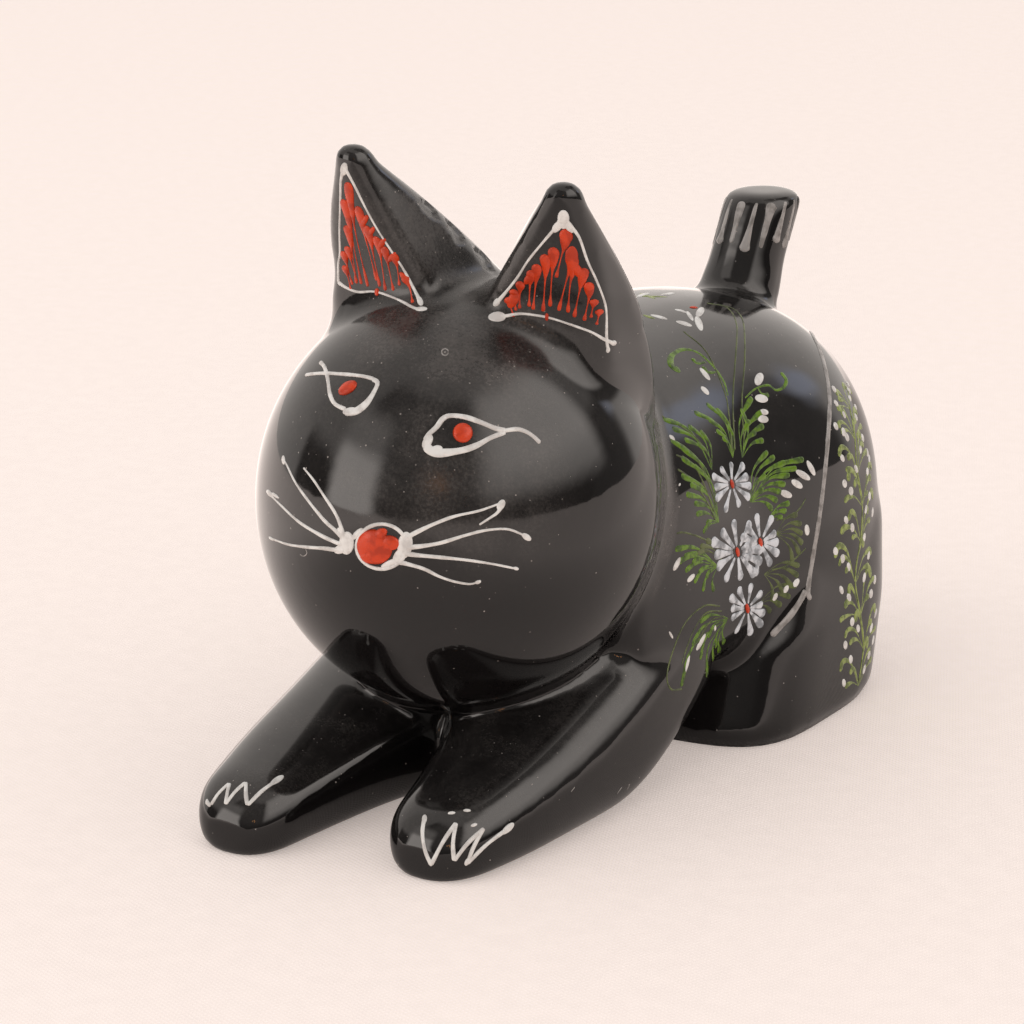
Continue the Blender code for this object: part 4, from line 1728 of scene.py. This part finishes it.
@dataclass
class BackPainting:
    """Small flowers along the back and stripes on the tail."""

    flower_petals: tuple = (
        ((643, 295), 8, 13, 20), ((668, 294), 8, 14, 10), ((659, 317), 8.5, 18, 165),
        ((681, 311), 6.5, 13, 165), ((684, 323.5), 10.5, 17, 165), ((699, 323.5), 9, 15, 105),
        ((700, 312), 8, 11, 60), ((690, 316), 6, 11, 120))
    flower_heart: tuple = ((693.6, 307.5), 5, 8, 0)
    stripe_count: int = 15
    stripe_mm: float = 1.05
    stripe_low: float = 1.6
    stripe_gap: float = 0.5
    low_step: float = 0.4

    def stripes(self, brush: Brush) -> None:
        """Paint the tail's stripes, each with a blob at its lower end.

        Args:
            brush: the brush that paints them.
        """
        tail = Tail()
        shift = CatCarving.centre_shift
        radius = tail.diameter / 2.0
        lean_y, lean_x = math.tan(math.radians(tail.lean_back)), math.tan(math.radians(tail.lean_aside))
        pivot = tail.skin_height - tail.sink * (1.0 - tail.pivot_share)
        low, high = tail.skin_height + self.stripe_low, tail.skin_height + tail.rise - self.stripe_gap
        for number in range(self.stripe_count):
            angle = 2.0 * math.pi * number / self.stripe_count
            points = []
            for z in (high, (low + high) / 2.0, low + self.low_step * (number % 3)):
                centre = Vector((lean_x * (z - pivot), tail.back + shift + lean_y * (z - pivot), z))
                points.append((centre + Vector((math.cos(angle), math.sin(angle), 0.0)) * radius) * MM)
            brush.route(points, self.stripe_mm, Touch.FADE if number % 2 else Touch.CURL)

    def paint(self, easel: Easel) -> None:
        """Paint back and tail.

        Args:
            easel: the carving and the camera.
        """
        white = Brush(easel, "back_petals", WHITE, thickness=0.13)
        white.dabs(self.flower_petals)
        white.finish()
        red = Brush(easel, "back_heart", RED, thickness=0.16)
        red.dab(*self.flower_heart)
        red.finish()
        grey = Brush(easel, "tail_stripes", GREY_LINE, thickness=0.12)
        self.stripes(grey)
        grey.finish()


# Studio

@dataclass(frozen=True)
class CottonCloth:
    """Plain-woven bleached cotton: a matt pale ground with fine even ridges and soft slubs, glowing a little
    and evenly, with a painted reflection for the lacquer that is brighter on both sides and a painted shade
    in front.
    """

    colour: str = "#f7e8e0"
    thread_mm: float = 0.45
    weave_turn: float = 20.0
    ridge_mm: float = 0.08
    slub_mm: float = 2.5
    roughness: float = 0.9
    glow: float = 0.385
    # Painted shade and painted reflection: how far the glow drops in front and rises on both sides, seen by
    # reflections only
    front_shade: float = 0.22
    left_glow: float = 1.0
    right_glow: float = 0.34
    left_mm: tuple[float, float] = (-15.0, -120.0)
    right_mm: tuple[float, float] = (30.0, 110.0)

    def light(self, add: Callable, place: Socket) -> Socket:
        """Give the cloth's glow: even for all rays, and for reflections alone a painted reflection that the
        lacquer shows stronger on both sides than in front, where it is a painted shade.

        Args:
            add: what adds a node to the cloth's tree.
            place: the place on the cloth.

        Returns:
            The strength of the glow.
        """
        glossy = add("LightPath", output="Is Glossy Ray")
        across = add("SeparateXYZ", (place,), "X")
        near, far = (x * MM for x in self.left_mm)
        left = add("MapRange", (across, near, far, -self.front_shade, self.left_glow), **SMOOTH)
        near, far = (x * MM for x in self.right_mm)
        right = add("MapRange", (across, near, far, 0.0, self.right_glow + self.front_shade), **SMOOTH)
        # Painted reflection: only rays reflected off the lacquer see the cloth brighter at the sides and
        # darker in front
        painted_reflection = add("Math", (left, right), operation='ADD')
        return add("Math", (glossy, painted_reflection, self.glow), operation='MULTIPLY_ADD')

    def material(self) -> bpy.types.Material:
        """Make the cloth's material.

        Returns:
            The material.
        """
        material, tree, shader = new_material("plain_woven_cotton")
        add = partial(add_node, tree)
        place = add("TexCoord", output="Object")
        turned = add("Mapping", {"Vector": place, "Rotation": (0.0, 0.0, math.radians(self.weave_turn))})
        scale = 2.0 * math.pi / (20.0 * self.thread_mm * MM)
        threads = [add("TexWave", {"Vector": turned, "Scale": scale, "Distortion": 0.6, "Detail": 1.0},
                       "Fac", bands_direction=way) for way in ('X', 'Y')]
        weave = add("Math", tuple(threads), operation='MULTIPLY')
        slub = add("TexNoise", {"Vector": place, "Scale": 1.0 / (self.slub_mm * MM), "Detail": 4.0}, "Fac")
        shade = add("Math", (add("MapRange", (weave, 0.0, 1.0, 0.94, 1.0), **SMOOTH),
                             add("MapRange", (slub, 0.3, 0.7, 0.975, 1.0), **SMOOTH)), operation='MULTIPLY')
        colour = add("Mix", {0: 1.0, 6: linear(self.colour), 7: shade}, 2, data_type='RGBA',
                     blend_type='MULTIPLY')
        # The cloth glows evenly by its emission, and the painted reflection is added for reflection rays
        # only
        feed(tree, shader, {
            "Base Color": colour, "Emission Color": colour, "Emission Strength": self.light(add, place),
            "Roughness": self.roughness, "Specular IOR Level": 0.0,
            "Normal": add("Bump", {"Height": weave, "Strength": 0.6, "Distance": self.ridge_mm * MM})})
        return material


@dataclass(frozen=True)
class BlackCard:
    """Matt black card: a dark band for the lacquer to reflect, with no shine of its own."""

    colour: str = "#1c1a19"

    def material(self) -> bpy.types.Material:
        """Make the card's material.

        Returns:
            The material.
        """
        material, tree, shader = new_material("black_card")
        feed(tree, shader, {"Base Color": linear(self.colour), "Roughness": 1.0, "Specular IOR Level": 0.0})
        return material


def glowing(colour: str, strength: float) -> tuple[float, ...]:
    """Give the linear light of a colour at a strength."""
    return tuple(value * strength for value in linear(colour)[:3]) + (1.0,)


@dataclass(frozen=True)
class LightPanel:
    """A soft panel of light, placed by the directions that the cat sees it in, in degrees."""

    azimuth: float
    elevation: float
    half_width: float
    half_height: float
    soft: float
    brightness: float
    tint: str = "#fff6ef"

    def mask(self, add: Callable, azimuth: Socket, elevation: Socket) -> Socket:
        """Give the share of the panel that is seen in each direction.

        Args:
            add: what adds a node to the sky's tree.
            azimuth: the direction's angle round from the front.
            elevation: its angle up.

        Returns:
            The share.
        """
        turned = add("Math", (azimuth, math.radians(self.azimuth)), operation='SUBTRACT')
        turned = add("Math", (turned, math.pi, -math.pi), operation='WRAP')
        raised = add("Math", (elevation, math.radians(self.elevation)), operation='SUBTRACT')
        shares = []
        for offset, reach in ((turned, self.half_width), (raised, self.half_height)):
            away = add("Math", (offset,), operation='ABSOLUTE')
            outer, inner = math.radians(reach + self.soft / 2.0), math.radians(reach - self.soft / 2.0)
            shares.append(add("MapRange", (away, outer, inner), **SMOOTH))
        return add("Math", tuple(shares), operation='MULTIPLY')


@dataclass
class Studio:
    """A pale cloth floor in a light tent, with windows and walls that the lacquer reflects."""

    floor_reach: float = 3.0
    tent_light: float = 0.7
    centre: tuple[float, float, float] = (0.0, -0.014, 0.03)
    key_light: float = 0.96
    key_azimuth: float = -34.0
    key_elevation: float = 50.0
    key_distance: float = 0.9
    key_size: float = 0.7
    card_radius: float = 0.22
    card_height: float = 0.04
    card_middle: float = 52.0
    card_half: float = 66.0
    card_sides: int = 96
    dark_glow: float = 0.13
    panels: tuple[LightPanel, ...] = (
        LightPanel(0.0, 90.0, 180.0, 29.0, 8.0, 0.95),
        LightPanel(150.0, 75.0, 36.0, 20.0, 14.0, 0.35),
        LightPanel(-128.0, 26.0, 54.0, 38.0, 5.0, 1.1),
        LightPanel(-62.0, 44.0, 20.0, 26.0, 10.0, 0.95),
        LightPanel(174.0, 14.0, 25.0, 28.0, 13.0, 1.25),
        LightPanel(132.0, 12.0, 18.0, 30.0, 12.0, 0.22),
        LightPanel(154.0, 23.0, 6.0, 5.0, 8.0, 1.9, "#e9edff"),
        LightPanel(6.0, 34.0, 42.0, 26.0, 22.0, 0.35),
        LightPanel(137.0, 40.0, 14.0, 12.0, 8.0, 0.75),
        LightPanel(86.0, 38.5, 41.0, 27.5, 12.0, 1.95),
        LightPanel(90.0, 42.0, 37.0, 20.0, 16.0, 3.0),
        LightPanel(-33.0, 29.0, 16.0, 14.0, 12.0, 1.5),
        LightPanel(-31.5, 11.0, 14.5, 14.5, 8.0, 3.8),
        *(LightPanel(azimuth, elevation, 0.8, 0.8, 0.6, 14.0, "#ffb070")
          for azimuth, elevation in ((16.0, 19.0), (20.5, 20.5), (22.5, 17.0))),
    )

    def floor(self) -> None:
        """Lay the cloth."""
        deselect()
        bpy.ops.mesh.primitive_plane_add(size=2.0 * self.floor_reach)
        cloth = bpy.context.object
        cloth.name = "cloth_floor"
        cloth.data.materials.append(CottonCloth().material())

    def card(self) -> None:
        """Stand a low curved dark card round the front, which only reflections see."""
        deselect()
        x, y, _ = self.centre
        bpy.ops.mesh.primitive_cylinder_add(vertices=self.card_sides, radius=self.card_radius,
                                            depth=self.card_height, end_fill_type='NOTHING',
                                            location=(x, y, self.card_height / 2.0))
        card = bpy.context.object
        card.name = "dark_card"
        for vert in card.data.vertices:
            turn = math.atan2(vert.co.x, -vert.co.y) - math.radians(self.card_middle)
            turn = math.atan2(math.sin(turn), math.cos(turn))
            vert.select = abs(turn) > math.radians(self.card_half)
        bpy.ops.object.mode_set(mode='EDIT')
        bpy.ops.mesh.delete(type='VERT')
        bpy.ops.object.mode_set(mode='OBJECT')
        card.data.materials.append(BlackCard().material())
        card.visible_camera = card.visible_diffuse = card.visible_shadow = False

    def key(self) -> None:
        """Hang one broad lamp at the front left, which shades the cloth and the paint softly."""
        way = direction(self.key_azimuth, self.key_elevation)
        bpy.ops.object.light_add(type='AREA', location=Vector(self.centre) + way * self.key_distance)
        lamp = bpy.context.object
        lamp.name = "broad_key_light"
        lamp.rotation_euler = way.to_track_quat('Z', 'Y').to_euler()
        lamp.data.shape = 'SQUARE'
        lamp.data.size = self.key_size
        lamp.data.energy = self.key_light
        lamp.visible_camera = lamp.visible_glossy = False

    def sky(self) -> None:
        """Light the room evenly, and let reflections see the panels."""
        world = bpy.data.worlds.new("light_tent")
        bpy.context.scene.world = world
        world.use_nodes = True
        world.node_tree.nodes.clear()
        add = partial(add_node, world.node_tree)
        way = add("SeparateXYZ", (add("TexCoord", output="Generated"),)).node.outputs
        ahead = add("Math", (way["Y"], -1.0), operation='MULTIPLY')
        azimuth = add("Math", (way["X"], ahead), operation='ARCTAN2')
        elevation = add("Math", (way["Z"],), operation='ARCSINE')
        seen = add("RGB")
        seen.default_value = glowing(LightPanel.tint, self.dark_glow)
        for panel in self.panels:
            seen = add("Mix", {0: panel.mask(add, azimuth, elevation), 6: seen,
                               7: glowing(panel.tint, panel.brightness)}, 2, data_type='RGBA')
        plain = add("Background", (linear("#ffffff"), self.tent_light))
        patterned = add("Background", (seen, 1.0))
        both = add("MixShader", (add("LightPath", output="Is Glossy Ray"), plain, patterned))
        add("OutputWorld", (both,))
        world.cycles.sampling_method = 'NONE'

    def build(self) -> None:
        """Set up floor, card, lamp and sky."""
        self.floor()
        self.card()
        self.key()
        self.sky()
        bpy.context.scene.view_settings.view_transform = 'Standard'
        bpy.context.scene.view_settings.look = 'None'
        log.info("studio: %d light panels", len(self.panels))


def surface_of(item: bpy.types.Object) -> BVHTree:
    """Give the search tree of an object's surface."""
    return BVHTree.FromObject(item, bpy.context.evaluated_depsgraph_get())


def main() -> None:
    """Build the cat, its paint and the studio in order."""
    logging.basicConfig(level=logging.INFO, format="%(name)s: %(message)s")
    camera = PictureCamera()
    camera.build()
    cat = CatCarving().build(GlossLacquer())
    easel = Easel(surface_of(cat), camera)
    for painting in (EarPainting(), FacePainting(), PawPainting(), FlankPainting(), BackPainting()):
        painting.paint(easel)
    Studio().build()


if __name__ == "__main__":
    main()
